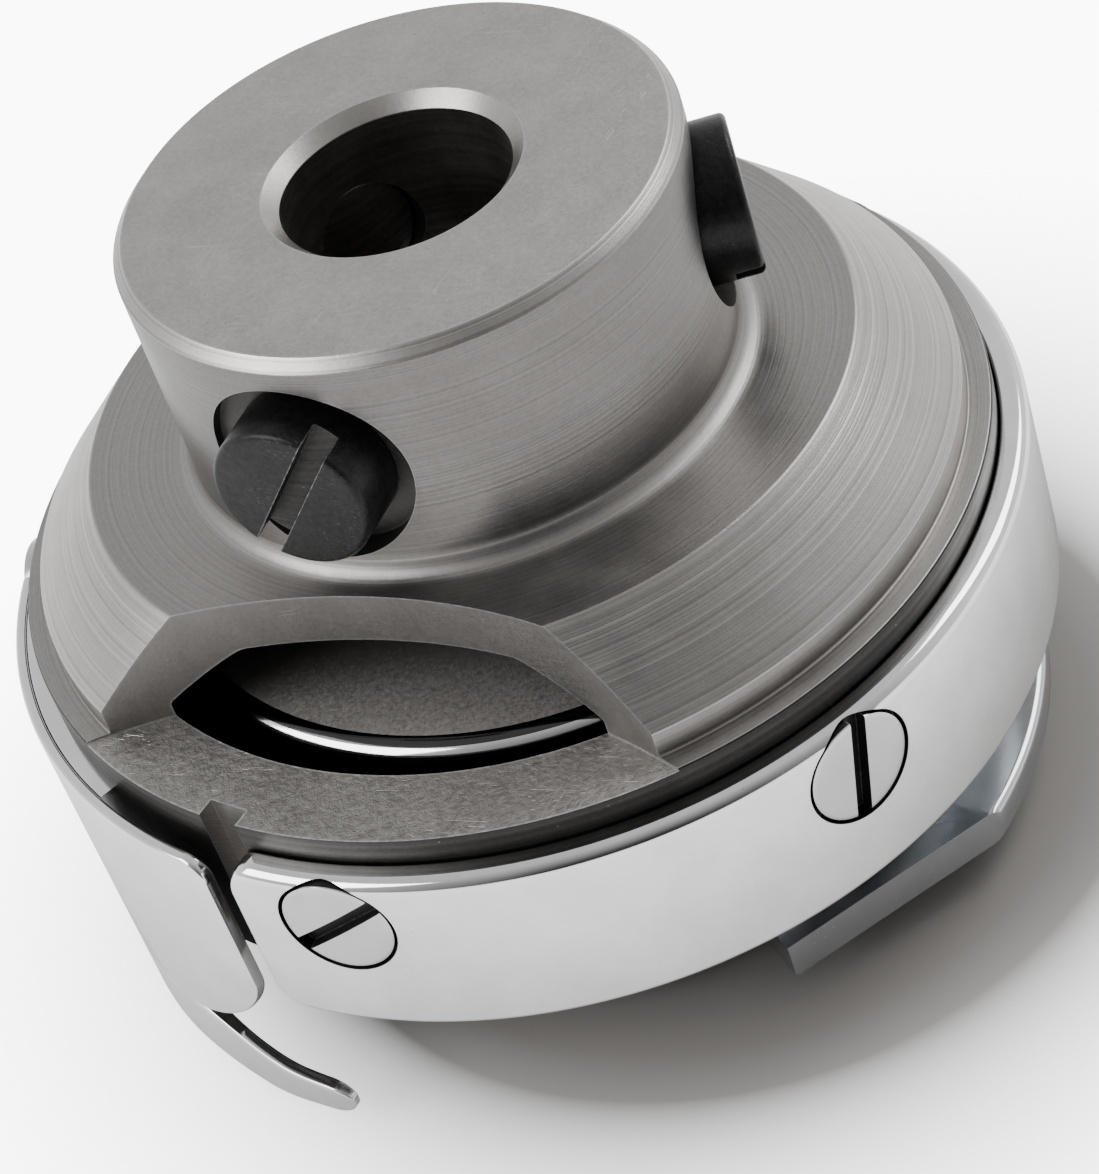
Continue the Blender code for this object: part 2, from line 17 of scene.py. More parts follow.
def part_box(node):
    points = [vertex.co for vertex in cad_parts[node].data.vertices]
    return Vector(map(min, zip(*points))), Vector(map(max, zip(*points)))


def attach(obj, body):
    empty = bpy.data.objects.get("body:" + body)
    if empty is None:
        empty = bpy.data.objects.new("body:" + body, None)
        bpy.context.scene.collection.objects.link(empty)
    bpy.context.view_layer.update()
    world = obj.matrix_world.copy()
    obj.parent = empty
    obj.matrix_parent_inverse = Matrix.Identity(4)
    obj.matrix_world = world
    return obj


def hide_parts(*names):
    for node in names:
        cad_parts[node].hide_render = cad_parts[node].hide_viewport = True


MM = 0.001
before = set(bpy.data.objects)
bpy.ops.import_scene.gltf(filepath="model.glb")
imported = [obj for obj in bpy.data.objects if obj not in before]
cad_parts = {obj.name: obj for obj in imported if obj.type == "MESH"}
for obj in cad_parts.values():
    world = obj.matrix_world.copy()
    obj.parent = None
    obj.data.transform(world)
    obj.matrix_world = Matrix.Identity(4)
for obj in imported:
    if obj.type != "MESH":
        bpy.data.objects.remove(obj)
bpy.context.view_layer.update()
hub_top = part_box("hook_body")[1].z / MM
band_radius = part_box("gib")[1].x / MM
print("hub top at", round(hub_top, 2), "mm, band radius", round(band_radius, 2), "mm")

# %% [markdown]
# ## Outlines
# Almost every piece of the hook was turned on a lathe, so it begins as an
# outline of radius and height. Lathe corners are never perfectly sharp, and a
# small arc on each one is what catches the light. Drawing those arcs by hand
# would bury the few corners that matter, so the corners are given with their
# fillets and the arcs are worked out.

# %% Round the corners of an outline
def rounded(corners, steps=6):
    """A closed outline whose corners are arcs, from (radius, height, fillet) rows.

    An arc's centre lies on the corner's bisector, fillet / sin(half angle) from
    the corner. Its points turn evenly from one straight side to the next.
    """
    corners = np.array(corners, float)
    spot, fillet = corners[:, :2], corners[:, 2:]
    back = np.roll(spot, 1, axis=0) - spot
    ahead = np.roll(spot, -1, axis=0) - spot
    back /= np.linalg.norm(back, axis=1, keepdims=True)
    ahead /= np.linalg.norm(ahead, axis=1, keepdims=True)
    bisector = back + ahead
    bisector /= np.linalg.norm(bisector, axis=1, keepdims=True)
    half = np.arccos(np.clip((back * ahead).sum(1, keepdims=True), -1.0, 1.0)) / 2.0
    centre = spot + bisector * fillet / np.sin(half)
    first = spot + back * fillet / np.tan(half) - centre
    last = spot + ahead * fillet / np.tan(half) - centre
    sweep = np.pi - 2.0 * half
    share = np.linspace(0.0, 1.0, steps + 1)[:, None, None]
    arcs = np.sin((1.0 - share) * sweep) * first + np.sin(share * sweep) * last
    arcs = arcs / np.sin(sweep) + centre
    return arcs.transpose(1, 0, 2).reshape(-1, 2)


def ring_corners(outer, inner, high, low, fillet):
    """The four corners of a plain ring."""
    return [(outer, high, fillet), (outer, low, fillet), (inner, low, fillet), (inner, high, fillet)]


print("a rounded square ring has", len(rounded(ring_corners(2.0, 1.0, 1.0, 0.0, 0.1))), "points")

# %% [markdown]
# ## From a grid of points to a solid
# A closed outline carried along a path gives a grid of points. Neighbours in
# the grid share a quad, and the two open ends, if there are any, get a cap.
# Computing the grid as one array keeps the shape's formula in plain sight.

# %% Solids from grids
def solid(name, grid, closed_path):
    """A closed mesh from a grid of points: rows along a path, columns round an outline."""
    rows, columns = grid.shape[:2]
    index = np.arange(rows * columns).reshape(rows, columns)
    right = np.roll(index, -1, axis=1)
    below = np.roll(index, -1, axis=0)
    quads = np.stack([index, right, np.roll(right, -1, axis=0), below], axis=-1)
    quads = quads if closed_path else quads[:-1]
    faces = quads.reshape(-1, 4).tolist()
    if not closed_path:
        faces += [index[0].tolist(), index[-1].tolist()]
    mesh = bpy.data.meshes.new(name)
    mesh.from_pydata((grid.reshape(-1, 3) * MM).tolist(), [], faces)
    shape = bmesh.new()
    shape.from_mesh(mesh)
    bmesh.ops.remove_doubles(shape, verts=shape.verts, dist=1e-4 * MM)
    bmesh.ops.recalc_face_normals(shape, faces=shape.faces)
    shape.to_mesh(mesh)
    shape.free()
    piece = bpy.data.objects.new(name, mesh)
    bpy.context.scene.collection.objects.link(piece)
    return piece


def moved(points, place):
    """Points (..., 3) carried through a 4 by 4 placement."""
    return points if place is None else points @ place[:3, :3].T + place[:3, 3]


def revolved(name, outline, steps=240, place=None):
    """An outline turned once round Z: x = r cos(a), y = r sin(a), z = h."""
    turn = np.linspace(0.0, 2.0 * np.pi, steps, endpoint=False)[:, None]
    radius, height = outline.T
    grid = [radius * np.cos(turn), radius * np.sin(turn), height + 0.0 * turn]
    return solid(name, moved(np.stack(grid, axis=-1), place), True)


def facing_out(azimuth, height=0.0, turn=0.0):
    """A placement whose Z points away from the axis, turned about that direction."""
    a, t = np.radians(azimuth), np.radians(turn)
    across = np.array([-np.sin(a), np.cos(a), 0.0])
    up = np.array([0.0, 0.0, 1.0])
    place = np.eye(4)
    place[:3, 0] = np.cos(t) * across + np.sin(t) * up
    place[:3, 1] = np.cos(t) * up - np.sin(t) * across
    place[:3, 2] = [np.cos(a), np.sin(a), 0.0]
    place[2, 3] = height
    return place


def rod(name, radius, start, end, place=None, steps=64):
    """A cylinder from start to end along a placement's Z."""
    corners = [(0.0, end, 0.0), (radius, end, 0.0), (radius, start, 0.0), (0.0, start, 0.0)]
    return revolved(name, np.array(corners)[:, :2], steps, place)


def bar(name, low, high, place=None):
    """A box between two corners of a placement."""
    x, y = np.array([low[0], high[0], high[0], low[0]]), np.array([low[1], low[1], high[1], high[1]])
    grid = np.stack([[x, y, x * 0.0 + z] for z in (low[2], high[2])]).transpose(0, 2, 1)
    return solid(name, moved(grid, place), False)


# %% [markdown]
# ## Cutting and joining
# Windows, holes, slots and spot faces were cut into turned blanks. An exact
# Boolean does the same here. Its result is kept as the piece's own mesh, so
# that later steps can tell the milled faces from the turned ones.

# %% Cut or join, and keep the result
def shaped(piece, tools, operation="DIFFERENCE"):
    """The piece after each tool is cut away from it, or joined to it."""
    for tool in tools:
        step = piece.modifiers.new(tool.name, "BOOLEAN")
        step.operation = operation
        step.solver = "EXACT"
        step.object = tool
    graph = bpy.context.evaluated_depsgraph_get()
    plain = piece.data
    piece.data = bpy.data.meshes.new_from_object(piece.evaluated_get(graph))
    piece.modifiers.clear()
    bpy.data.meshes.remove(plain)
    for tool in tools:
        bpy.data.objects.remove(tool)
    ends = np.empty(len(piece.data.loops), np.int32)
    piece.data.loops.foreach_get("edge_index", ends)
    loose = int((np.bincount(ends) != 2).sum())
    if loose:
        print(piece.name, "has", loose, "edges without two faces")
    return piece


def finished(piece, body, material, nodes=(), sharp=32.0, bevel=0.0):
    """Smooth shading, a material, and the body that the piece rides on."""
    piece.data.materials.clear()
    for each in material if isinstance(material, list) else [material]:
        piece.data.materials.append(each)
    piece.data.shade_smooth()
    piece.data.set_sharp_from_angle(angle=np.radians(sharp))
    if bevel:
        edge = piece.modifiers.new("soft edges", "BEVEL")
        edge.width, edge.segments, edge.limit_method = bevel * MM, 2, "ANGLE"
        edge.angle_limit = np.radians(40.0)
        edge.harden_normals = True
    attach(piece, body)
    if nodes:
        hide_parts(*nodes)
    print(f"{piece.name}: {len(piece.data.polygons)} faces, rides on {body}")
    return piece


# %% [markdown]
# ## Strips bent round the axis
# The polished gib, the guard plate and the hook's point are thin strips bent
# to the rim's curve. Each is an outline carried along an arc of azimuths,
# while two functions of the azimuth say where its lower and upper edges run.
# Round ends come from the same two functions.

# %% Bent strips
def corner_drop(distance, radius):
    """How far a round corner pulls an edge in: radius - sqrt(radius^2 - inside^2)."""
    inside = np.clip(radius - distance, 0.0, radius)
    return radius - np.sqrt(radius**2 - inside**2)


def close_to_ends(start, end, reach, count=180):
    """Azimuths spaced evenly, with more of them within a reach of each end."""
    fine = reach * (1.0 - np.cos(np.linspace(0.0, np.pi / 2.0, 12)))
    return np.unique(np.concatenate([np.linspace(start, end, count), start + fine, end - fine]))


def bent_strip(name, outline, azimuths, low, high, thickness=1.0):
    """An outline carried round the axis, its heights stretched between low and high.

    z = low + share * (high - low), where share is the outline's own height as a
    part of its range. Radii shrink towards the middle by the thickness factor.
    """
    radius, height = outline.T
    share = (height - height.min()) / np.ptp(height)
    middle = (radius.max() + radius.min()) / 2.0
    spread = np.broadcast_to(thickness, azimuths.shape)[:, None]
    radius = middle + (radius - middle) * spread
    turn = np.radians(azimuths)[:, None]
    z = low[:, None] + share * (high - low)[:, None]
    return solid(name, np.stack([radius * np.cos(turn), radius * np.sin(turn), z], axis=-1), False)


def end_rounding(azimuths, corner, at_radius):
    """The drop of both edges at round corners, from the distance to the nearer end."""
    distance = np.minimum(azimuths - azimuths[0], azimuths[-1] - azimuths)
    return corner_drop(np.radians(distance) * at_radius, corner)


# %% [markdown]
# ## Finishes shared by several metals
# What tells one steel from another is mostly its surface: the fine spiral a
# lathe tool leaves, the arcs of an end mill, hairline scratches, and edges
# rubbed bright by handling, which also carry a painted highlight. Each of these
# is a node group with named inputs and outputs, built once and placed in every
# material that needs it. They all start from Object coordinates turned into
# millimetres.

# %% A short way to write nodes
def add(tree, kind, inputs=None, **settings):
    """A shader node with its inputs set, or linked where a value is a socket."""
    node = tree.nodes.new("ShaderNode" + kind)
    for key, value in settings.items():
        setattr(node, key, value)
    for key, value in (inputs or {}).items():
        if isinstance(value, bpy.types.NodeSocket):
            tree.links.new(value, node.inputs[key])
        else:
            node.inputs[key].default_value = value
    return node


def maths(tree, operation, first, second=0.0):
    """The result of one Math node."""
    return add(tree, "Math", {0: first, 1: second}, operation=operation).outputs[0]


def ranged(tree, value, low, high, to_low=0.0, to_high=1.0):
    """A value moved from one range to another, and held inside it."""
    inputs = {"Value": value, "From Min": low, "From Max": high, "To Min": to_low, "To Max": to_high}
    return add(tree, "MapRange", inputs).outputs["Result"]


def new_group(name, inputs, outputs):
    """An empty node group, its input and output nodes, and object space in millimetres."""
    tree = bpy.data.node_groups.new(name, "ShaderNodeTree")
    for label, value in inputs.items():
        socket = tree.interface.new_socket(label, in_out="INPUT", socket_type="NodeSocketFloat")
        socket.default_value = value
    for label in outputs:
        tree.interface.new_socket(label, in_out="OUTPUT", socket_type="NodeSocketFloat")
    place = add(tree, "TexCoord").outputs["Object"]
    place = add(tree, "VectorMath", {0: place, "Scale": 1.0 / MM}, operation="SCALE").outputs[0]
    return tree, tree.nodes.new("NodeGroupInput").outputs, tree.nodes.new("NodeGroupOutput").inputs, place


def noise(tree, vector, scale, detail=2.0, roughness=0.5, dimensions="3D"):
    """The grey output of a noise texture; in 1D the vector is the single coordinate."""
    slot = "W" if dimensions == "1D" else "Vector"
    inputs = {slot: vector, "Scale": scale, "Detail": detail, "Roughness": roughness}
    return add(tree, "TexNoise", inputs, noise_dimensions=dimensions).outputs["Fac"]


# %% [markdown]
# ### Turning marks
# A lathe tool leaves one fine groove per turn, so the grooves depend on the
# distance from the axis and the height, and hardly at all on the azimuth.
# Noise of the single number radius minus height gives that: the number
# changes along a face, a cone and a cylinder alike. A little slow noise makes
# the rings waver.

# %% Turning marks
def make_turning_marks():
    inputs = {"Grooves per mm": 9.0, "Waver": 0.05}
    tree, given, result, place = new_group("turning marks", inputs, ["Grooves", "Rings"])
    parts = add(tree, "SeparateXYZ", {0: place}).outputs
    squares = maths(tree, "ADD", maths(tree, "MULTIPLY", parts[0], parts[0]),
                    maths(tree, "MULTIPLY", parts[1], parts[1]))
    along = maths(tree, "SUBTRACT", maths(tree, "SQRT", squares), parts[2])
    along = maths(tree, "ADD", along, maths(tree, "MULTIPLY", noise(tree, place, 0.7), given["Waver"]))
    fine = noise(tree, maths(tree, "MULTIPLY", along, given["Grooves per mm"]), 1.0, 3.0, 0.6, "1D")
    broad = noise(tree, along, 1.3, 2.0, 0.5, "1D")
    tree.links.new(fine, result["Grooves"])
    tree.links.new(broad, result["Rings"])
    return tree


turning_marks = make_turning_marks()
print(turning_marks.name, "gives", [s.name for s in turning_marks.interface.items_tree])

# %% [markdown]
# ### Grain, hairlines and specks
# Ground and blasted faces have no direction: slow patches, a fine grain, and
# a few specks where a grain tore out. Hairlines are noise stretched a
# hundredfold along a slanted direction, cut to its brightest crests, and
# faded in and out by slow patches, so that no scratch runs right across.

# %% Grain, hairlines and specks
def make_grain():
    tree, given, result, place = new_group("metal grain", {"Grain size": 6.0}, ["Patches", "Grain", "Specks"])
    tree.links.new(noise(tree, place, 0.45, 4.0, 0.6), result["Patches"])
    tree.links.new(noise(tree, place, given["Grain size"], 4.0, 0.75), result["Grain"])
    spots = add(tree, "TexVoronoi", {"Vector": place, "Scale": 1.6}, distance="EUCLIDEAN")
    size = noise(tree, place, 2.5)
    speck = maths(tree, "LESS_THAN", spots.outputs["Distance"], maths(tree, "MULTIPLY", size, 0.09))
    tree.links.new(speck, result["Specks"])
    return tree


def make_hairlines():
    tree, given, result, place = new_group("hairlines", {"Angle": 0.6, "Fewness": 0.66}, ["Lines"])
    slant = {"Vector": place, "Angle": given["Angle"]}
    turned = add(tree, "VectorRotate", slant, rotation_type="Z_AXIS").outputs[0]
    bent = add(tree, "VectorMath", {0: noise(tree, place, 0.25), "Scale": 1.2}, operation="SCALE").outputs[0]
    bent = add(tree, "VectorMath", {0: turned, 1: bent}, operation="ADD").outputs[0]
    thin = add(tree, "Mapping", {"Vector": bent, "Scale": (0.12, 14.0, 14.0)}).outputs[0]
    lines = ranged(tree, noise(tree, thin, 1.0, 1.0), given["Fewness"], 0.75)
    faded = ranged(tree, noise(tree, place, 0.5, 1.0), 0.5, 0.62)
    tree.links.new(maths(tree, "MULTIPLY", lines, faded), result["Lines"])
    return tree


metal_grain = make_grain()
hairlines = make_hairlines()
print(metal_grain.name, "and", hairlines.name, "are ready")

# %% [markdown]
# ### Worn edges and painted edge highlights
# Edges of a hook shine where burrs broke off and fingers rubbed, and where a
# rounded edge catches the light; this mask paints both into the colour, so part
# of its brightness is a painted highlight. A Bevel node gives the normal that a
# rounded edge would have; where it leaves the true normal, there is an edge.
# Noise breaks the line up.

# %% Worn edges and painted edge highlights
def make_worn_edges():
    tree, given, result, place = new_group("edge wear and painted highlight", {"Width in mm": 0.12, "Breaks": 0.5}, ["Edge"])
    width = maths(tree, "MULTIPLY", given["Width in mm"], MM)
    soft = add(tree, "Bevel", {"Radius": width}, samples=6).outputs[0]
    true = add(tree, "NewGeometry").outputs["Normal"]
    same = add(tree, "VectorMath", {0: soft, 1: true}, operation="DOT_PRODUCT").outputs["Value"]
    edge = ranged(tree, same, 0.995, 0.93)
    broken = ranged(tree, noise(tree, place, 5.0, 3.0), 0.35, 0.65)
    kept = maths(tree, "SUBTRACT", 1.0, maths(tree, "MULTIPLY", broken, given["Breaks"]))
    tree.links.new(maths(tree, "MULTIPLY", edge, kept), result["Edge"])
    return tree


edge_wear_and_highlight = make_worn_edges()
print(edge_wear_and_highlight.name, "is ready")

# %% [markdown]
# ## The metals
# Each metal is a Principled material of its own. Its colour, roughness and
# bump come from the groups above, mixed in amounts that suit its finish:
# turned steel shows rings, cast and milled steel shows grain, and polished
# steel shows almost nothing but its surroundings.

# %% Material helpers
def use(tree, group, **values):
    """A node group placed in a material, with its own values."""
    node = tree.nodes.new("ShaderNodeGroup")
    node.node_tree = group
    for label, value in values.items():
        node.inputs[label.replace("_", " ")].default_value = value
    return node.outputs


def new_metal(name, metallic=1.0, **sockets):
    """A material, its tree and its Principled shader, with plain sockets set."""
    material = bpy.data.materials.new(name)
    material.use_nodes = True
    shader = material.node_tree.nodes["Principled BSDF"]
    shader.inputs["Metallic"].default_value = metallic
    for label, value in sockets.items():
        shader.inputs[label.replace("_", " ")].default_value = value
    return material, material.node_tree, shader.inputs


def tinted(tree, low, high, share):
    """A colour between two greys or colours, chosen by a mask."""
    mix = add(tree, "Mix", {0: share, 6: (*low, 1.0), 7: (*high, 1.0)}, data_type="RGBA")
    return mix.outputs[2]


def over(tree, under, colour, share):
    """A colour laid over another colour by a mask."""
    return add(tree, "Mix", {0: share, 6: under, 7: (*colour, 1.0)}, data_type="RGBA").outputs[2]


def relief(tree, shader, height, depth_mm, strength=1.0):
    """A Bump node on the shader's normal, with its depth in millimetres."""
    bump = add(tree, "Bump", {"Height": height, "Distance": depth_mm * MM, "Strength": strength})
    tree.links.new(bump.outputs[0], shader["Normal"])


def grey(value, warmth=0.0):
    """A grey with a little more red and less blue."""
    return (value * (1.0 + warmth), value, value * (1.0 - warmth))


# %% Turned steel, fine and coarse
def turned_steel(name, low, high, rough, grooves, depth, grain_share=0.4, warmth=0.045):
    """Lathe-turned steel: rings in colour and height, grain in roughness."""
    material, tree, shader = new_metal(name)
    marks = use(tree, turning_marks, Grooves_per_mm=grooves)
    grain = use(tree, metal_grain)
    edge = use(tree, edge_wear_and_highlight, Width_in_mm=0.05)["Edge"]
    streaks = ranged(tree, marks["Grooves"], 0.3, 0.7)
    mixed = maths(tree, "MULTIPLY", ranged(tree, grain["Grain"], 0.3, 0.7), grain_share)
    mixed = maths(tree, "ADD", mixed, maths(tree, "MULTIPLY", streaks, 1.0 - grain_share))
    colour = tinted(tree, grey(low, warmth), grey(high, warmth), mixed)
    colour = over(tree, colour, grey(0.25), maths(tree, "MULTIPLY", grain["Specks"], 0.5))
    # Edges brightened by rubbing, with a painted highlight along them.
    colour = over(tree, colour, grey(min(0.9, high * 1.5)), edge)
    tree.links.new(colour, shader["Base Color"])
    rougher = ranged(tree, grain["Patches"], 0.3, 0.7, rough - 0.04, rough + 0.06)
    tree.links.new(rougher, shader["Roughness"])
    height = maths(tree, "ADD", marks["Grooves"], maths(tree, "MULTIPLY", grain["Grain"], 0.35))
    relief(tree, shader, height, depth)
    return material


fine_turned = turned_steel("fine_turned_steel", 0.22, 0.33, 0.36, 9.0, 0.006)
coarse_turned = turned_steel("coarse_turned_steel", 0.26, 0.48, 0.34, 4.0, 0.016, 0.2)
dark_turned = turned_steel("bore_steel", 0.17, 0.34, 0.34, 4.0, 0.012)
# A darker copy of the fine turned steel for the hub's side wall: painted shade for the dark room that the
# wall reflects.
hub_wall_painted_darker = turned_steel("hub_wall_steel_painted_darker", 0.13, 0.21, 0.34, 9.0, 0.006)
# Near-black steel that paints shade: on the rim's wall in the gap under the ledge, and on the clamp screws'
# slot floors.
painted_shade_steel = turned_steel("painted_shade_dark_steel", 0.03, 0.06, 0.42, 5.0, 0.008)
inner_turned = turned_steel("cavity_steel", 0.16, 0.26, 0.42, 5.0, 0.006)
print("turned steels:", [m.name for m in (fine_turned, coarse_turned, dark_turned, inner_turned)])


# %% Ground, milled and rough steel
def grained_steel(name, low, high, rough, size, depth, line_share=0.3, warmth=0.045, bright=0.0):
    """Steel without rings: ground faces, milled walls and a coarse milled floor."""
    material, tree, shader = new_metal(name)
    grain = use(tree, metal_grain, Grain_size=size)
    lines = use(tree, hairlines, Angle=0.5)["Lines"]
    more = use(tree, hairlines, Angle=2.3, Fewness=0.69)["Lines"]
    edge = use(tree, edge_wear_and_highlight, Width_in_mm=0.14)["Edge"]
    mixed = maths(tree, "ADD", maths(tree, "MULTIPLY", ranged(tree, grain["Grain"], 0.3, 0.7), 0.6),
                  maths(tree, "MULTIPLY", ranged(tree, grain["Patches"], 0.3, 0.7), 0.4))
    colour = tinted(tree, grey(low, warmth), grey(high, warmth), mixed)
    scratch = maths(tree, "MAXIMUM", lines, more)
    colour = over(tree, colour, grey(high * 1.35, warmth), maths(tree, "MULTIPLY", scratch, line_share))
    colour = over(tree, colour, grey(0.16 + bright), maths(tree, "MULTIPLY", grain["Specks"], 0.6))
    # Edges brightened by rubbing, with a painted highlight along them.
    colour = over(tree, colour, grey(min(0.9, high * 1.6)), edge)
    tree.links.new(colour, shader["Base Color"])
    tree.links.new(ranged(tree, grain["Grain"], 0.3, 0.7, rough - 0.05, rough + 0.08), shader["Roughness"])
    height = maths(tree, "SUBTRACT", grain["Grain"], maths(tree, "MULTIPLY", scratch, 0.3))
    relief(tree, shader, height, depth)
    return material


ground_face = grained_steel("ground_hub_face", 0.29, 0.45, 0.44, 7.0, 0.010, 0.45)
milled_wall = grained_steel("milled_wall", 0.15, 0.24, 0.50, 6.0, 0.012)
milled_floor = grained_steel("milled_floor", 0.20, 0.46, 0.46, 3.2, 0.06, 0.5, 0.045, 0.5)
# Spot faces are painted near black: painted shade in the recesses round the clamp screws.
spot_face_painted_shade = grained_steel("spot_face_steel_painted_dark", 0.05, 0.11, 0.50, 5.0, 0.012)
print("grained steels:", [m.name for m in (ground_face, milled_wall, milled_floor, spot_face_painted_shade)])


# %% Polished, plated and blackened steel
def polished_steel(name, base, rough, wave_depth, bluish=0.0, hair=0.35, metallic=1.0):
    """Buffed or plated steel: nearly a mirror, with slow waves, hairlines and pits."""
    material, tree, shader = new_metal(name, metallic)
    marks = use(tree, turning_marks, Grooves_per_mm=3.0, Waver=0.4)
    grain = use(tree, metal_grain, Grain_size=2.0)
    lines = use(tree, hairlines, Angle=0.2, Fewness=0.64)["Lines"]
    low = (base * (0.90 - bluish), base * 0.90, base * (0.90 + bluish))
    high = (base * (1.0 - bluish), base, base * (1.0 + bluish))
    colour = tinted(tree, low, high, ranged(tree, grain["Patches"], 0.35, 0.65))
    colour = over(tree, colour, grey(0.2), maths(tree, "MULTIPLY", grain["Specks"], 0.35))
    tree.links.new(colour, shader["Base Color"])
    dull = maths(tree, "ADD", maths(tree, "MULTIPLY", lines, hair * 0.4),
                 ranged(tree, grain["Patches"], 0.4, 0.7, rough, rough + 0.06))
    tree.links.new(dull, shader["Roughness"])
    slow = add(tree, "TexCoord").outputs["Object"]
    waves = noise(tree, slow, 0.35 / MM, 1.0)
    height = maths(tree, "ADD", waves, maths(tree, "MULTIPLY", marks["Grooves"], 0.03))
    height = maths(tree, "SUBTRACT", height, maths(tree, "MULTIPLY", lines, 0.01 * hair))
    relief(tree, shader, height, wave_depth)
    return material


def black_oxide():
    """Chemically blackened steel: a dark satin skin, its edges rubbed grey and given a painted highlight."""
    material, tree, shader = new_metal("black_oxide", 0.5, Specular_IOR_Level=0.3)
    marks = use(tree, hairlines, Angle=1.1, Fewness=0.6)["Lines"]
    grain = use(tree, metal_grain, Grain_size=4.0)
    edge = use(tree, edge_wear_and_highlight, Width_in_mm=0.07, Breaks=0.8)["Edge"]
    colour = tinted(tree, grey(0.006), grey(0.02), ranged(tree, grain["Grain"], 0.3, 0.7))
    colour = over(tree, colour, grey(0.12), maths(tree, "MULTIPLY", marks, 0.3))
    # Edges rubbed grey, with a painted highlight along them.
    colour = over(tree, colour, grey(0.24), edge)
    tree.links.new(colour, shader["Base Color"])
    tree.links.new(ranged(tree, grain["Patches"], 0.3, 0.7, 0.28, 0.42), shader["Roughness"])
    relief(tree, shader, grain["Grain"], 0.012)
    return material


band_polish = polished_steel("polished_band", 0.86, 0.07, 0.010)
arm_polish = polished_steel("polished_arm", 0.80, 0.10, 0.012)
screw_polish = polished_steel("flush_screw_steel", 0.62, 0.17, 0.008, 0.0, 0.8)
plated = polished_steel("plated_steel", 0.62, 0.16, 0.012, 0.035)
case_plate = polished_steel("nickel_plate", 0.66, 0.20, 0.003, 0.02)
spring_blue = polished_steel("spring_steel", 0.52, 0.20, 0.006, 0.03, 0.6)
race_painted_dark = polished_steel("race_painted_dark_reflection", 0.07, 0.09, 0.006)
black_screw = black_oxide()
holder_face = grained_steel("holder_rear_face", 0.50, 0.62, 0.50, 6.0, 0.006)
print("polished steels are ready, and", black_screw.name)

# %% [markdown]
# ## The hook's body
# Hub, shoulder, cone, rim and the race inside are one turned blank. The
# outline runs down the outside and back up the inside. Its window, notch,
# spot faces and screw holes are then cut as they were on the real hook, and
# the arm that carries the point is joined on.

# %% Turn the blank
HUB_RADIUS, HUB_CHAMFER = 9.7, 0.4
BORE_RADIUS, BORE_CHAMFER = 3.97, 0.5
SHOULDER_Z, SHOULDER_RADIUS = 19.3, 13.6
CONE_FOOT_Z, CONE_FOOT_RADIUS = 16.1, 16.6
LEDGE_Z, RIM_RADIUS = 15.1, 17.45
LIP_TOP_Z, LIP_RADIUS, RACE_RADIUS, RACE_TOP_Z = 8.2, 15.2, 16.35, 10.3
BAND_FRONT_Z, BAND_REAR_Z, BAND_INNER = 7.1, 14.0, 17.5
CAVITY_RADIUS, CEILING_Z, CEILING_RADIUS, CAVITY_CONE_Z = 14.6, 17.3, 12.4, 15.6

body_corners = [
    (HUB_RADIUS - HUB_CHAMFER, hub_top, 0.06),
    (HUB_RADIUS, hub_top - HUB_CHAMFER, 0.10),
    (HUB_RADIUS, SHOULDER_Z, 0.85),
    (SHOULDER_RADIUS, SHOULDER_Z, 0.16),
    (CONE_FOOT_RADIUS, CONE_FOOT_Z, 0.14),
    (CONE_FOOT_RADIUS, LEDGE_Z, 0.08),
    (RIM_RADIUS, LEDGE_Z, 0.10),
    (RIM_RADIUS, LIP_TOP_Z + 0.05, 0.05),
    (RACE_RADIUS, LIP_TOP_Z + 0.05, 0.05),
    (RACE_RADIUS, RACE_TOP_Z, 0.05),
    (CAVITY_RADIUS, RACE_TOP_Z, 0.10),
    (CAVITY_RADIUS, CAVITY_CONE_Z, 0.30),
    (CEILING_RADIUS, CEILING_Z, 0.50),
    (BORE_RADIUS, CEILING_Z, 0.10),
    (BORE_RADIUS, hub_top - BORE_CHAMFER, 0.08),
    (BORE_RADIUS + BORE_CHAMFER, hub_top, 0.06),
]
hook = revolved("hook", rounded(body_corners), 288)
print("blank:", len(hook.data.vertices), "points")

# %% [markdown]
# The arm hangs from the rim over about a third of the circle. It is a thick
# root where the gib ends, then a thin wall under the guard plate, and below
# the wall the point sweeps forward to its tip.

# %% Join the arm, the root and the lip
ARM_FROM, ARM_TO, ROOT_TO, POINT_TIP = 97.0, 205.0, 138.0, 228.0
ARM_INNER, ARM_OUTER, ARM_FRONT_Z = 17.5, 18.05, 0.6


def plain_strip(name, outer, inner, high, low, start, end, fillet=0.08):
    """A strip with level edges between two azimuths."""
    azimuths = np.linspace(start, end, 2 + int(abs(end - start)))
    level = np.ones_like(azimuths)
    outline = rounded(ring_corners(outer, inner, high, low, fillet), 3)
    return bent_strip(name, outline, azimuths, level * low, level * high)


root = plain_strip("root", band_radius, ARM_INNER - 0.1, BAND_REAR_Z, ARM_FRONT_Z, ARM_FROM, ROOT_TO, 0.25)
wall = plain_strip("wall", ARM_OUTER, RIM_RADIUS - 0.4, 13.6, 7.33, ARM_FROM + 0.7, ARM_TO)
skirt = plain_strip("skirt", ARM_OUTER - 0.01, ARM_INNER, 7.9, ARM_FRONT_Z + 0.02,
                    ROOT_TO - 1.3, ARM_TO - 0.1, 0.2)
lip = plain_strip("lip", RIM_RADIUS - 0.2, LIP_RADIUS, LIP_TOP_Z, BAND_FRONT_Z,
                  ARM_FROM + 0.3, ARM_TO - 0.3, 0.1)
shaped(hook, [root, wall, skirt, lip], "UNION")
print("with its arm:", len(hook.data.vertices), "points")

# %% [markdown]
# The window is the sweep of one large end mill, so its wall is part of a
# cylinder standing beside the axis, and its floor is flat. The three clamp
# screws sit on spot faces, which bite into the shoulder as well.

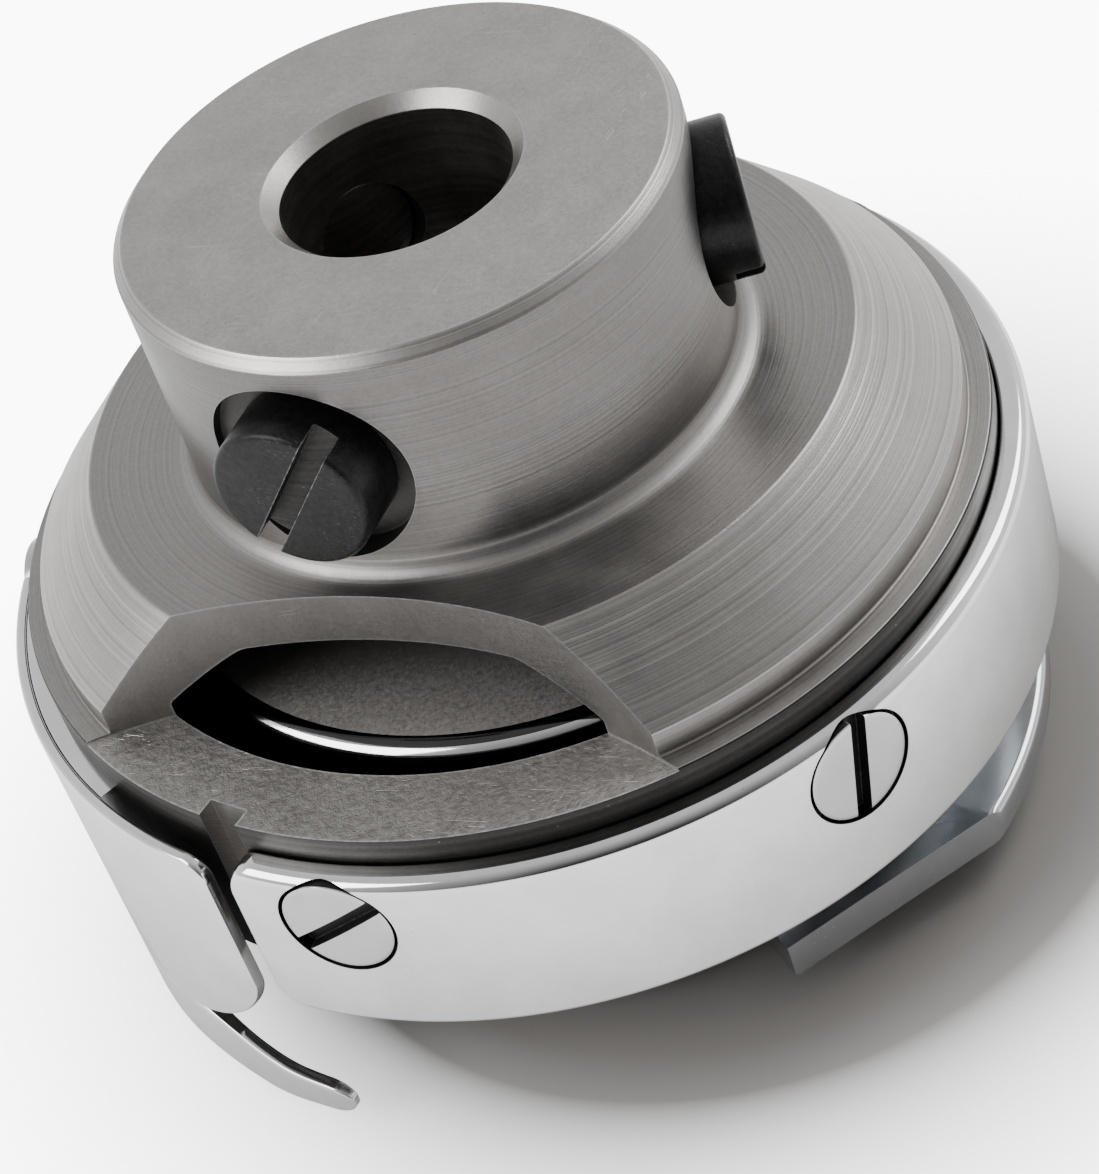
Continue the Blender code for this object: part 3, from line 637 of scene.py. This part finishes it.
# %% Cut the window, the notch, the spot faces and the holes
WINDOW_AZIMUTH, MILL_RADIUS, WINDOW_WALL, WINDOW_FLOOR_Z = -120.7, 20.0, 10.75, 15.0
HUB_SCREWS = [(-127.0, -36.0), (-7.0, -50.0), (113.0, 10.0)]
HUB_SCREW_Z, SPOT_RADIUS, SPOT_DEPTH = hub_top - 4.65, 3.55, 8.65
GIB_SCREWS = [(-122.5, -56.0), (-65.5, -10.0), (30.0, 25.0)]
PLATE_SCREWS = [(147.0, 40.0), (160.0, 75.0)]
BAND_SCREW_Z, SEAT_RADIUS, SEAT_DEPTH = 11.9, 2.07, 17.9

window_axis = facing_out(WINDOW_AZIMUTH)[:3, 2] * (WINDOW_WALL + MILL_RADIUS)
at_window = np.eye(4)
at_window[:3, 3] = window_axis
cutters = [rod("mill", MILL_RADIUS, WINDOW_FLOOR_Z, 27.0, at_window, 220)]
cutters.append(bar("notch", (-0.75, 6.0, 16.75), (0.75, 18.0, 19.0), facing_out(-135.6)))
for azimuth, _ in HUB_SCREWS:
    place = facing_out(azimuth, HUB_SCREW_Z)
    cutters.append(rod("spot", SPOT_RADIUS, SPOT_DEPTH, 15.0, place, 96))
    cutters.append(rod("hole", 2.05, 3.0, 9.0, place, 48))
for azimuth, _ in GIB_SCREWS + PLATE_SCREWS:
    place = facing_out(azimuth, BAND_SCREW_Z)
    cutters.append(rod("seat", SEAT_RADIUS, SEAT_DEPTH, 20.0, place))
    cutters.append(rod("hole", 1.2, 13.0, 18.5, place, 32))
shaped(hook, cutters)
print("machined:", len(hook.data.vertices), "points")

# %% [markdown]
# Each face then takes the finish of the tool that made it. The place and the
# normal of a face are enough to tell: the hub's end was ground, the cone was
# turned with a coarse feed, and what lies on the mill's path was milled. The
# hub's side wall, the spot faces and the rim's wall under the ledge take darker
# steels that paint shade.

# %% Give every face its finish
def face_places(mesh):
    """Centres and normals of all faces, as arrays in millimetres."""
    centres, normals = np.empty(len(mesh.polygons) * 3), np.empty(len(mesh.polygons) * 3)
    mesh.polygons.foreach_get("center", centres)
    mesh.polygons.foreach_get("normal", normals)
    return centres.reshape(-1, 3) / MM, normals.reshape(-1, 3)


def assign(piece, choice):
    """Each face's material, as a number in the piece's list; set after finished()."""
    piece.data.polygons.foreach_set("material_index", choice.astype(np.int32))


centre, normal = face_places(hook.data)
radius = np.hypot(centre[:, 0], centre[:, 1])
height = centre[:, 2]
outward = (centre[:, 0] * normal[:, 0] + centre[:, 1] * normal[:, 1]) / np.maximum(radius, 0.01)
from_axis = np.hypot(centre[:, 0] - window_axis[0], centre[:, 1] - window_axis[1])
finish = np.zeros(len(radius), int)
finish[(height > hub_top - 0.02) & (normal[:, 2] > 0.9)] = 1
finish[(radius > SHOULDER_RADIUS - 0.05) & (height > CONE_FOOT_Z - 0.1) & (outward > 0.3)] = 2
inward = (outward < -0.3) | (normal[:, 2] < -0.5)
finish[(radius < CAVITY_RADIUS + 2.0) & (height < CEILING_Z + 0.1) & inward] = 3
finish[(radius < BORE_RADIUS + 0.02) & (height > CEILING_Z)] = 4
# The hub's side wall takes the darker copy of its turned steel, as painted shade.
finish[(abs(radius - HUB_RADIUS) < 0.03) & (height > SHOULDER_Z + 0.5) & (outward > 0.9)] = 10
in_window = (height > WINDOW_FLOOR_Z - 0.02) & (from_axis < MILL_RADIUS + 0.05)
finish[in_window & (abs(from_axis - MILL_RADIUS) < 0.06) & (abs(normal[:, 2]) < 0.3)] = 5
finish[in_window & (normal[:, 2] > 0.9) & (height < WINDOW_FLOOR_Z + 0.05)] = 6
# Spot-faced seats and sides take the near-black steel that paints the shade in these recesses.
for azimuth, _ in HUB_SCREWS:
    place = facing_out(azimuth, HUB_SCREW_Z)
    local = (centre - place[:3, 3]) @ place[:3, :3]
    across, facing = np.hypot(local[:, 0], local[:, 1]), normal @ place[:3, 2]
    seat = (abs(local[:, 2] - SPOT_DEPTH) < 0.02) & (facing > 0.9)
    side = (abs(across - SPOT_RADIUS) < 0.03) & (abs(facing) < 0.1) & (local[:, 2] > SPOT_DEPTH)
    finish[(across < SPOT_RADIUS + 0.02) & (seat | side)] = 7
finish[(radius > BAND_INNER - 0.02) & (height < BAND_REAR_Z + 0.1)] = 8
# The rim's wall under the ledge is painted near black: painted shade in the gap between rim and gib.
finish[(abs(radius - RIM_RADIUS) < 0.2) & (height < LEDGE_Z - 0.02) & (height > 10.0) & (outward > 0.5)] = 9
finish[(height > hub_top - 0.52) & (abs(normal[:, 2] - 0.6) < 0.28) & (radius < HUB_RADIUS + 0.01)] = 2
finished(hook, "hook",
         [fine_turned, ground_face, coarse_turned, inner_turned, dark_turned, milled_wall,
          milled_floor, spot_face_painted_shade, arm_polish, painted_shade_steel, hub_wall_painted_darker], ["hook_body"])
assign(hook, finish)
print("faces per finish:", np.bincount(finish).tolist())

# %% [markdown]
# ## The hook's point
# The point is a thin blade that follows the rim's curve and narrows to a
# rounded tip. Its two edges are smooth steps of the azimuth; near the tip the
# blade's height shrinks like a circle.

# %% Point
def smooth_step(value, start, end):
    """0 before start, 1 after end, and 3t^2 - 2t^3 between them."""
    t = np.clip((value - start) / (end - start), 0.0, 1.0)
    return t * t * (3.0 - 2.0 * t)


azimuths = close_to_ends(ROOT_TO - 1.0, POINT_TIP, 3.0, 120)
rear = 2.75 + 0.35 * smooth_step(azimuths, 150.0, 200.0) - 1.05 * smooth_step(azimuths, 205.0, 221.0)
front = 0.3 + 0.45 * smooth_step(azimuths, 214.0, 226.0)
blunt = np.sqrt(np.clip(1.0 - np.clip((azimuths - POINT_TIP + 3.4) / 3.4, 0.0, 1.0) ** 2, 0.004, 1.0))
thin = 1.0 - 0.45 * smooth_step(azimuths, 196.0, 214.0)
middle = (rear + front) / 2.0
point = bent_strip("hook_point", rounded(ring_corners(band_radius, ARM_INNER + 0.02, 1.0, 0.0, 0.16), 5),
                   azimuths, middle - (middle - front) * blunt, middle + (rear - middle) * blunt,
                   thin * (0.35 + 0.65 * blunt))
finished(point, "hook", arm_polish)

# %% [markdown]
# ## The gib
# The gib is the polished band that closes the race. Its rear edge is rolled
# over, its ends are rounded like a playing card's, and a lip under it keeps
# the holder's rib in place. Screw seats are cut square to the axis.

# %% Gib
GIB_FROM, GIB_TO = -134.0, 95.0
gib_corners = [
    (band_radius, BAND_REAR_Z, 0.48), (band_radius, BAND_FRONT_Z, 0.28),
    (LIP_RADIUS, BAND_FRONT_Z, 0.10), (LIP_RADIUS, LIP_TOP_Z, 0.10),
    (BAND_INNER, LIP_TOP_Z, 0.05), (BAND_INNER, BAND_REAR_Z, 0.14),
]
azimuths = close_to_ends(GIB_FROM, GIB_TO, 3.2, 260)
drop = end_rounding(azimuths, 0.95, band_radius)
gib = bent_strip("polished_gib", rounded(gib_corners, 8), azimuths, BAND_FRONT_Z + drop, BAND_REAR_Z - drop)


def seat_cutters(screws):
    """A seat and a shank hole for each flush screw."""
    tools = []
    for azimuth, _ in screws:
        place = facing_out(azimuth, BAND_SCREW_Z)
        tools.append(rod("seat", SEAT_RADIUS, SEAT_DEPTH, 20.0, place, 80))
        tools.append(rod("hole", 1.2, 16.5, 18.5, place, 32))
    return tools


def painted_seat_shade(piece, screws):
    """1 for the faces inside the screw seats, painted black as the shade in the gap round each screw."""
    centre, normal = face_places(piece.data)
    inside = np.zeros(len(centre), bool)
    for azimuth, _ in screws:
        place = facing_out(azimuth, BAND_SCREW_Z)
        local = (centre - place[:3, 3]) @ place[:3, :3]
        near = (np.hypot(local[:, 0], local[:, 1]) < SEAT_RADIUS + 0.01) & (local[:, 2] > 0.0)
        inside |= near & (abs(normal @ place[:3, 2]) < 0.2)
        inside |= near & (abs(local[:, 2] - SEAT_DEPTH) < 0.02)
    return inside


# Rounding the ends lifts the lip too, so the race above it is cut clear for the holder's rib.
race = revolved("race", rounded(ring_corners(BAND_INNER - 0.05, 14.0, 13.0, LIP_TOP_Z + 0.01, 0.02), 2), 288)
shaped(gib, seat_cutters(GIB_SCREWS) + [race])
# The seat faces take black oxide: painted shade in the gaps round the flush screws.
painted_shade_faces = painted_seat_shade(gib, GIB_SCREWS)
finished(gib, "hook", [band_polish, black_screw], ["gib"])
assign(gib, painted_shade_faces)

# %% [markdown]
# ## The guard plate
# The thin plate over the arm ends at the throat with one corner swept away.
# The sweep is a superellipse: t^p + s^p = 1, with p a little over one and a
# half, which is fuller than an ellipse's quarter near the edge.

# %% Guard plate
PLATE_FROM, PLATE_TO, PLATE_LOW, PLATE_HIGH = 140.0, 222.5, 3.3, 13.6
SWEEP_FROM, SWEEP_RISE, SWEEP_POWER = 203.0, 4.2, 1.6
azimuths = close_to_ends(PLATE_FROM, PLATE_TO, 3.0, 160)
share = np.clip((azimuths - SWEEP_FROM) / (PLATE_TO - SWEEP_FROM), 0.0, 1.0)
sweep = SWEEP_RISE * (1.0 - (1.0 - share**SWEEP_POWER) ** (1.0 / SWEEP_POWER))
drop = end_rounding(azimuths, 0.9, band_radius)
far_end = azimuths < 180.0
plate = bent_strip("polished_plate", rounded([
    (band_radius, PLATE_HIGH, 0.20), (band_radius, PLATE_LOW, 0.20),
    (ARM_OUTER + 0.02, PLATE_LOW, 0.10), (ARM_OUTER + 0.02, PLATE_HIGH, 0.10)], 6),
    azimuths, PLATE_LOW + sweep + drop * far_end, PLATE_HIGH - drop)
seats = [facing_out(azimuth, BAND_SCREW_Z) for azimuth, _ in PLATE_SCREWS]
shaped(plate, [rod("seat", SEAT_RADIUS, 16.0, 20.0, place, 80) for place in seats])
finished(plate, "hook", band_polish, ["guard_plate"])

# %% [markdown]
# ## Screws
# The clamp screws are cheese heads, turned and slotted. The flush screws were
# ground down together with the band, so their heads carry the band's own
# curve: each point of the disc lies at sqrt(band radius^2 - across^2).

# %% Clamp screws
SLOT_FLOOR = 9.85


def clamp_screw(number, azimuth, slot_turn):
    name = f"clamp_screw_{number}"
    corners = [
        (0.0, 10.9, 0.0), (2.75, 10.9, 0.22), (2.75, 8.72, 0.05), (2.0, 8.72, 0.05),
        (2.0, 4.1, 0.1), (0.0, 4.1, 0.0),
    ]
    place = facing_out(azimuth, HUB_SCREW_Z, slot_turn)
    screw = revolved(name, rounded(corners, 6), 96, place)
    slot = bar("slot", (-0.43, -4.0, SLOT_FLOOR), (0.43, 4.0, 12.0), place)
    shaped(screw, [slot])
    centre, _ = face_places(screw.data)
    out = (centre - place[:3, 3]) @ place[:3, 2]
    finished(screw, "hook", [black_screw, painted_shade_steel, dark_turned], [f"hub_screw_{number}"])
    # The slot floor is painted near black as painted shade; the shank, hidden in its hole, is bore steel.
    shade = np.where(out < 4.4, 2, abs(out - SLOT_FLOOR) < 0.02)
    assign(screw, shade)


for number, (azimuth, slot_turn) in enumerate(HUB_SCREWS, 1):
    clamp_screw(number, azimuth, slot_turn)


# %% Flush screws
def flush_screw(name, node, azimuth, slot_turn, shade):
    """A disc whose top follows the band: out = sqrt(R^2 - across^2) - bevel."""
    reach = np.array([0.0, 0.5, 1.0, 1.5, 1.78, 1.88, 1.93, 1.95, 1.95, 1.2, 1.2, 0.0])
    bevel = np.array([0.0, 0.0, 0.0, 0.0, 0.0, 0.005, 0.025, 0.06, 0.0, 0.0, 0.0, 0.0])
    fixed = np.array([0.0] * 8 + [17.92, 17.92, 15.0, 15.0])
    turn = np.linspace(0.0, 2.0 * np.pi, 96, endpoint=False)[:, None]
    across, up = reach * np.cos(turn), reach * np.sin(turn)
    out = np.sqrt((band_radius - 0.015) ** 2 - across**2) - bevel
    out = np.where(fixed > 0.0, fixed + 0.0 * across, out)
    place = facing_out(azimuth, BAND_SCREW_Z)
    screw = solid(name, moved(np.stack([across, up, out], axis=-1), place), True)
    slot = bar("slot", (-0.3, -3.0, 18.02), (0.3, 3.0, 19.5), facing_out(azimuth, BAND_SCREW_Z, slot_turn))
    shaped(screw, [slot])
    centre, normal = face_places(screw.data)
    out, facing = (centre - place[:3, 3]) @ place[:3, 2], normal @ place[:3, 2]
    # Sides and slot floor take the shade material; on the gib's screws it is black, a painted shade for the
    # gap round the head and in the slot.
    painted_shade_faces = (facing < 0.3) | (out < 18.1)
    finished(screw, "hook", [screw_polish, shade], [node])
    assign(screw, painted_shade_faces)


for number, (azimuth, slot_turn) in enumerate(GIB_SCREWS, 1):
    flush_screw(f"flush_screw_{number}", f"gib_screw_{number}", azimuth, slot_turn, black_screw)
for number, (azimuth, slot_turn) in enumerate(PLATE_SCREWS, 1):
    flush_screw(f"plate_flush_screw_{number}", f"plate_screw_{number}", azimuth, slot_turn, screw_polish)

# %% [markdown]
# ## The holder
# The holder is the cup that stays still inside the turning hook. Its rib runs
# in the race, its flange is what the machine's finger stops, and the post in
# its middle carries the bobbin case. The cup's rear corner and the wall above
# the race are painted near black, a painted reflection of the dark cavity, and
# a band of polished faces along the corner's crest is a painted highlight; its
# rear face is plain grey.

# %% Holder
CUP_OUTER, CUP_INNER, CUP_TOP_Z, CUP_FLOOR_Z = 12.9, 11.62, 14.2, 12.8
RIB_RADIUS, RIB_HIGH, RIB_LOW = 16.2, RACE_TOP_Z - 0.08, LIP_TOP_Z + 0.08
FLANGE_RADIUS, FLANGE_REAR_Z, FLANGE_FRONT_Z = 17.3, 2.9, 1.4
POST_RADIUS = 1.95

holder_corners = [
    (CUP_OUTER, CUP_TOP_Z, 0.8), (CUP_OUTER, RIB_HIGH, 0.2), (RIB_RADIUS, RIB_HIGH, 0.2),
    (RIB_RADIUS, RIB_LOW, 0.2), (CUP_OUTER, RIB_LOW, 0.2), (CUP_OUTER, FLANGE_FRONT_Z, 0.15),
    (CUP_INNER, FLANGE_FRONT_Z, 0.15), (CUP_INNER, CUP_FLOOR_Z, 0.4),
    (POST_RADIUS + 0.03, CUP_FLOOR_Z, 0.05), (POST_RADIUS + 0.03, CUP_TOP_Z, 0.2),
]
holder = revolved("holder", rounded(holder_corners, 8), 240)
flange = plain_strip("flange", FLANGE_RADIUS, CUP_INNER + 0.4, FLANGE_REAR_Z, FLANGE_FRONT_Z + 0.02,
                     -120.0, 165.0, 0.3)
chord = np.eye(4)
turn = np.radians(-72.0)
chord[:2, :2] = [[np.cos(turn), -np.sin(turn)], [np.sin(turn), np.cos(turn)]]
edges = np.radians([-76.0, -98.0, -122.0])
wedge = np.column_stack([np.cos(edges), np.sin(edges)]) * (CUP_OUTER + 0.3)
wedge = np.concatenate([wedge, wedge[::-1] * 2.2])
grid = np.stack([np.column_stack([wedge, np.full(6, z)]) for z in (-2.0, 7.0)])
shaped(flange, [bar("chord", (15.3, -20.0, -2.0), (30.0, 20.0, 7.0), chord), solid("wedge", grid, False)])
shaped(holder, [flange], "UNION")
shaped(holder, [bar("finger notch", (-1.3, 10.0, 0.0), (1.3, 14.0, 2.8))])
centre, normal = face_places(holder.data)
radius, height = np.hypot(centre[:, 0], centre[:, 1]), centre[:, 2]
zone = np.zeros(len(radius), int)
# The wall above the race and the rear corner are painted near black: a painted reflection of the dark cavity
# round them.
zone[(height > RACE_TOP_Z) & (radius > 11.9)] = 1
zone[(height > CUP_FLOOR_Z + 0.5) & (radius <= 12.15) & (normal[:, 2] > 0.95)] = 2
finished(holder, "holder", [plated, race_painted_dark, holder_face, band_polish],
         ["bobbin_case_holder"])
# Faces on the corner's crest take the bright band steel: a painted highlight along the dark corner.
zone[(zone == 1) & (normal[:, 2] > 0.62) & (normal[:, 2] < 0.86)] = 3
assign(holder, zone)
print("holder faces per finish:", np.bincount(zone).tolist())

post_corners = [
    (0.0, CUP_TOP_Z - 0.1, 0.0), (POST_RADIUS, CUP_TOP_Z - 0.1, 0.15), (POST_RADIUS, 2.6, 0.05),
    (POST_RADIUS - 0.35, 2.4, 0.05), (POST_RADIUS - 0.35, 1.8, 0.05), (POST_RADIUS, 1.6, 0.08),
    (POST_RADIUS - 0.3, 1.05, 0.15), (0.0, 1.05, 0.0),
]
post = revolved("post", rounded(post_corners, 5), 96)
finished(post, "holder", fine_turned, ["centre_post"])

# %% [markdown]
# ## The bobbin case
# The case is a thin plated cup with a tube for the post. A leaf spring on its
# side pinches the thread, set by a tiny screw, and the latch lies in a
# channel across its face.

# %% Case, leaf and its screws
CASE_RADIUS, CASE_INNER, CASE_TOP_Z, FACE_THICKNESS = 11.4, 10.7, 11.8, 2.4
TUBE_OUTER, TUBE_INNER, TUBE_TOP_Z = 3.0, 2.1, 11.6
LEAF_FROM, LEAF_TO, LEAF_Z, LEAF_INNER, LEAF_OUTER = 20.0, 100.0, 7.0, 11.1, 11.36
LEAF_SCREWS = [("tension", "tension", 62.0, 1.1, 20.0), ("leaf", "spring", 28.0, 0.9, 50.0)]
PIVOT_X, PIVOT_Z = 9.6, 0.6

case_corners = [
    (CASE_RADIUS, CASE_TOP_Z, 0.2), (CASE_RADIUS, 0.0, 0.35), (TUBE_INNER, 0.0, 0.25),
    (TUBE_INNER, TUBE_TOP_Z, 0.15), (TUBE_OUTER, TUBE_TOP_Z, 0.15), (TUBE_OUTER, FACE_THICKNESS, 0.2),
    (CASE_INNER, FACE_THICKNESS, 0.3), (CASE_INNER, CASE_TOP_Z, 0.2),
]
case = revolved("case", rounded(case_corners, 6), 200)
shaped(case, [bar("locating finger", (-1.1, 11.0, 0.6), (1.1, 13.4, 2.3))], "UNION")
leaf_seat = plain_strip("leaf seat", 12.6, LEAF_INNER - 0.03, LEAF_Z + 2.6, LEAF_Z - 2.6,
                        LEAF_FROM - 1, LEAF_TO + 1)
case_cuts = [bar("channel", (-8.5, -3.5, -1.0), (14.0, 3.5, 1.6)), leaf_seat]
case_cuts += [rod("hole", 0.5, 9.0, 13.0, facing_out(a, LEAF_Z), 32) for _, _, a, _, _ in LEAF_SCREWS]
shaped(case, case_cuts)
finished(case, "case", case_plate, ["case_body"])

azimuths = close_to_ends(LEAF_FROM, LEAF_TO, 6.0, 90)
drop = end_rounding(azimuths, 1.2, LEAF_OUTER)
level = np.ones_like(azimuths)
leaf = bent_strip("leaf", rounded(ring_corners(LEAF_OUTER, LEAF_INNER, 1.0, 0.0, 0.06), 3), azimuths,
                  level * (LEAF_Z - 2.5) + drop, level * (LEAF_Z + 2.5) - drop)
shaped(leaf, [rod("hole", 0.5, 9.0, 13.0, facing_out(a, LEAF_Z), 32) for _, _, a, _, _ in LEAF_SCREWS])
finished(leaf, "case", spring_blue, ["tension_spring"])

for name, node, azimuth, radius, turn in LEAF_SCREWS:
    top, under = CASE_RADIUS + 0.14, LEAF_OUTER + 0.02
    corners = [(0.0, top, 0.0), (radius, top, 0.05), (radius, under, 0.02), (0.45, under, 0.01),
               (0.45, 10.75, 0.05), (0.0, 10.75, 0.0)]
    screw = revolved(f"{name}_set_screw", rounded(corners, 4), 64, facing_out(azimuth, LEAF_Z))
    place = facing_out(azimuth, LEAF_Z, turn)
    shaped(screw, [bar("slot", (-0.13, -3.0, top - 0.09), (0.13, 3.0, top + 1.0), place)])
    finished(screw, "tension" if name == "tension" else "case", screw_polish, [f"{node}_screw"])


# %% Latch: lever, slide and pin
lever = bar("lever", (-5.0, -3.2, 0.15), (PIVOT_X, 3.2, 0.65))
lying = np.eye(4)
lying[:3, :3] = np.array([[0.0, 0.0, 1.0], [1.0, 0.0, 0.0], [0.0, 1.0, 0.0]]).T
lying[:3, 3] = [PIVOT_X, 0.0, PIVOT_Z]
shaped(lever, [rod("knuckle", 0.55, -3.2, 3.2, lying, 40)], "UNION")
shaped(lever, [rod("bore", 0.31, -4.0, 4.0, lying, 32), rod("grip", 1.1, -0.2, 0.25, None, 40)])
finished(lever, "lever", case_plate, ["latch_lever"], bevel=0.07)

slide = bar("slide", (-8.3, -3.2, 0.85), (7.3, 3.2, 1.4))
shaped(slide, [bar("post slot", (-3.75, -2.3, 0.0), (2.3, 2.3, 3.0)),
               bar("spring slot", (-7.9, -0.7, 0.0), (-4.25, 0.7, 3.0))])
finished(slide, "slide", case_plate, ["latch_slide"], bevel=0.06)
pin_corners = [(0.0, 4.8, 0.0), (0.28, 4.8, 0.06), (0.28, -4.8, 0.06), (0.0, -4.8, 0.0)]
pin = revolved("pin", rounded(pin_corners, 4), 40, lying)
finished(pin, "case", fine_turned, ["latch_pin"])

# %% [markdown]
# The latch's coil spring is a circle carried along a helix: the wire's centre
# runs round the spring's own axis, and the circle's plane holds the radial
# direction and the spring's axis.

# %% Latch spring, brake disc and bobbin
turns, coil, wire, start, length = 5.0, 0.28, 0.08, -6.25, 1.8
along = np.linspace(0.0, 1.0, 200)[:, None]
angle = 2.0 * np.pi * turns * along
ring = np.linspace(0.0, 2.0 * np.pi, 14, endpoint=False)[None, :]
reach = coil + wire * np.cos(ring)
grid = [start + length * along + wire * np.sin(ring), reach * np.cos(angle), 1.12 + reach * np.sin(angle)]
spring = solid("coil_spring", np.stack(grid, axis=-1), False)
finished(spring, "case", spring_blue, ["latch_spring"])

brake = revolved("brake_disc", rounded(ring_corners(7.6, TUBE_OUTER + 0.1, 2.75, 2.5, 0.06), 4), 120)
finished(brake, "case", spring_blue, ["brake_spring"])
core = revolved("core", rounded(ring_corners(4.2, 3.15, 11.6, 3.0, 0.12), 4), 120)
finished(core, "bobbin", case_plate, ["bobbin_core"])
for node, low in (("bobbin_flange_front", 3.0), ("bobbin_flange_rear", 10.9)):
    disc = revolved(node[7:], rounded(ring_corners(10.4, 4.22, low + 0.7, low, 0.2), 5), 160)
    holes = []
    for azimuth in np.radians([30, 90, 150, 210, 270, 330]):
        beside = np.eye(4)
        beside[:2, 3] = 6.9 * np.cos(azimuth), 6.9 * np.sin(azimuth)
        holes.append(rod("hole", 0.9, low - 1.0, low + 2.0, beside, 32))
    shaped(disc, holes)
    finished(disc, "bobbin", case_plate, [node])

# %% [markdown]
# ## The floor, the light and the camera
# Polished metal looks like what surrounds it, so the surroundings matter as
# much as the materials: a pale floor, a pale sky that is darker towards the
# viewer and overhead, and two large soft lamps that draw long highlights.

# %% Floor
floor_mesh = bpy.data.meshes.new("floor")
side = 3.0
corners = [(-side, -side, 0.0), (side, -side, 0.0), (side, side, 0.0), (-side, side, 0.0)]
floor_mesh.from_pydata(corners, [], [(0, 1, 2, 3)])
floor = bpy.data.objects.new("floor", floor_mesh)
bpy.context.scene.collection.objects.link(floor)
floor.location.z = -0.0001
paper, paper_tree, paper_shader = new_metal("paper", 0.0, Roughness=0.9)
paper_shader["Emission Color"].default_value = (1.0, 1.0, 1.0, 1.0)
# The paper glows only to the camera, and dims near the hook: the painted part of its shadow.
spot = add(paper_tree, "TexCoord").outputs["Object"]
shade = noise(paper_tree, spot, 40.0, 3.0)
gap = add(paper_tree, "VectorMath", {0: spot, 1: (0.004, -0.002, 0.0)}, operation="DISTANCE").outputs["Value"]
lit = ranged(paper_tree, gap, 0.016, 0.036)
seen = add(paper_tree, "LightPath").outputs["Is Camera Ray"]
glow = maths(paper_tree, "MULTIPLY", lit, ranged(paper_tree, seen, 0.0, 1.0, 0.6, 9.0))
paper_tree.links.new(glow, paper_shader["Emission Strength"])
white = tinted(paper_tree, (0.86, 0.86, 0.86), (0.90, 0.90, 0.90), shade)
dim = maths(paper_tree, "SUBTRACT", 1.0, ranged(paper_tree, gap, 0.014, 0.028))
paper_tree.links.new(over(paper_tree, white, (0.30, 0.285, 0.27), dim), paper_shader["Base Color"])
floor_mesh.materials.append(paper)

# %% Sky and lamps
world = bpy.data.worlds.new("studio")
bpy.context.scene.world = world
world.use_nodes = True
sky = world.node_tree
sky.nodes.clear()
ray = add(sky, "TexCoord").outputs["Generated"]
parts = add(sky, "SeparateXYZ", {0: ray}).outputs
front = ranged(sky, parts[1], -0.96, -0.1, 0.05, 1.08)
overhead = ranged(sky, parts[2], 0.3, 1.0, 1.0, 0.6)
strength = maths(sky, "MULTIPLY", front, overhead)
light = add(sky, "Background", {"Color": (1.0, 1.0, 1.0, 1.0), "Strength": strength})
end = add(sky, "OutputWorld")
sky.links.new(light.outputs[0], end.inputs["Surface"])


def lamp(name, place, size, power, target=(0.0, 0.0, 12.0)):
    """A square soft lamp that points at the hook; places are in millimetres."""
    data = bpy.data.lights.new(name, "AREA")
    data.size, data.energy = size * MM, power
    light = bpy.data.objects.new(name, data)
    light.location = Vector(place) * MM
    light.rotation_euler = (Vector(target) * MM - light.location).to_track_quat("-Z", "Y").to_euler()
    bpy.context.scene.collection.objects.link(light)


lamp("left softbox", (-260.0, -60.0, 220.0), 220.0, 0.9)
lamp("right softbox", (240.0, 120.0, 260.0), 200.0, 0.7)
print("two softboxes and a graded sky")

# %% Camera
VIEW_ROLL, LENS = -19.73, 110.6
eye, target = Vector((0.0, -92.77, 88.96)) * MM, Vector((0.27, 0.0, 9.03)) * MM
forward = (target - eye).normalized()
level = forward.cross(Vector((0.0, 0.0, 1.0))).normalized()
roll = np.radians(VIEW_ROLL)
right = level * np.cos(roll) + level.cross(forward) * np.sin(roll)
up = right.cross(forward)
camera_data = bpy.data.cameras.new("camera")
camera_data.lens, camera_data.sensor_width, camera_data.sensor_fit = LENS, 36.0, "HORIZONTAL"
camera_data.clip_start, camera_data.clip_end = 0.005, 20.0
camera = bpy.data.objects.new("camera", camera_data)
turned = Matrix((right, up, -forward)).transposed().to_4x4()
camera.matrix_world = Matrix.Translation(eye) @ turned
bpy.context.scene.collection.objects.link(camera)
bpy.context.scene.camera = camera
print("camera", round((target - eye).length / MM, 1), "mm from its target")
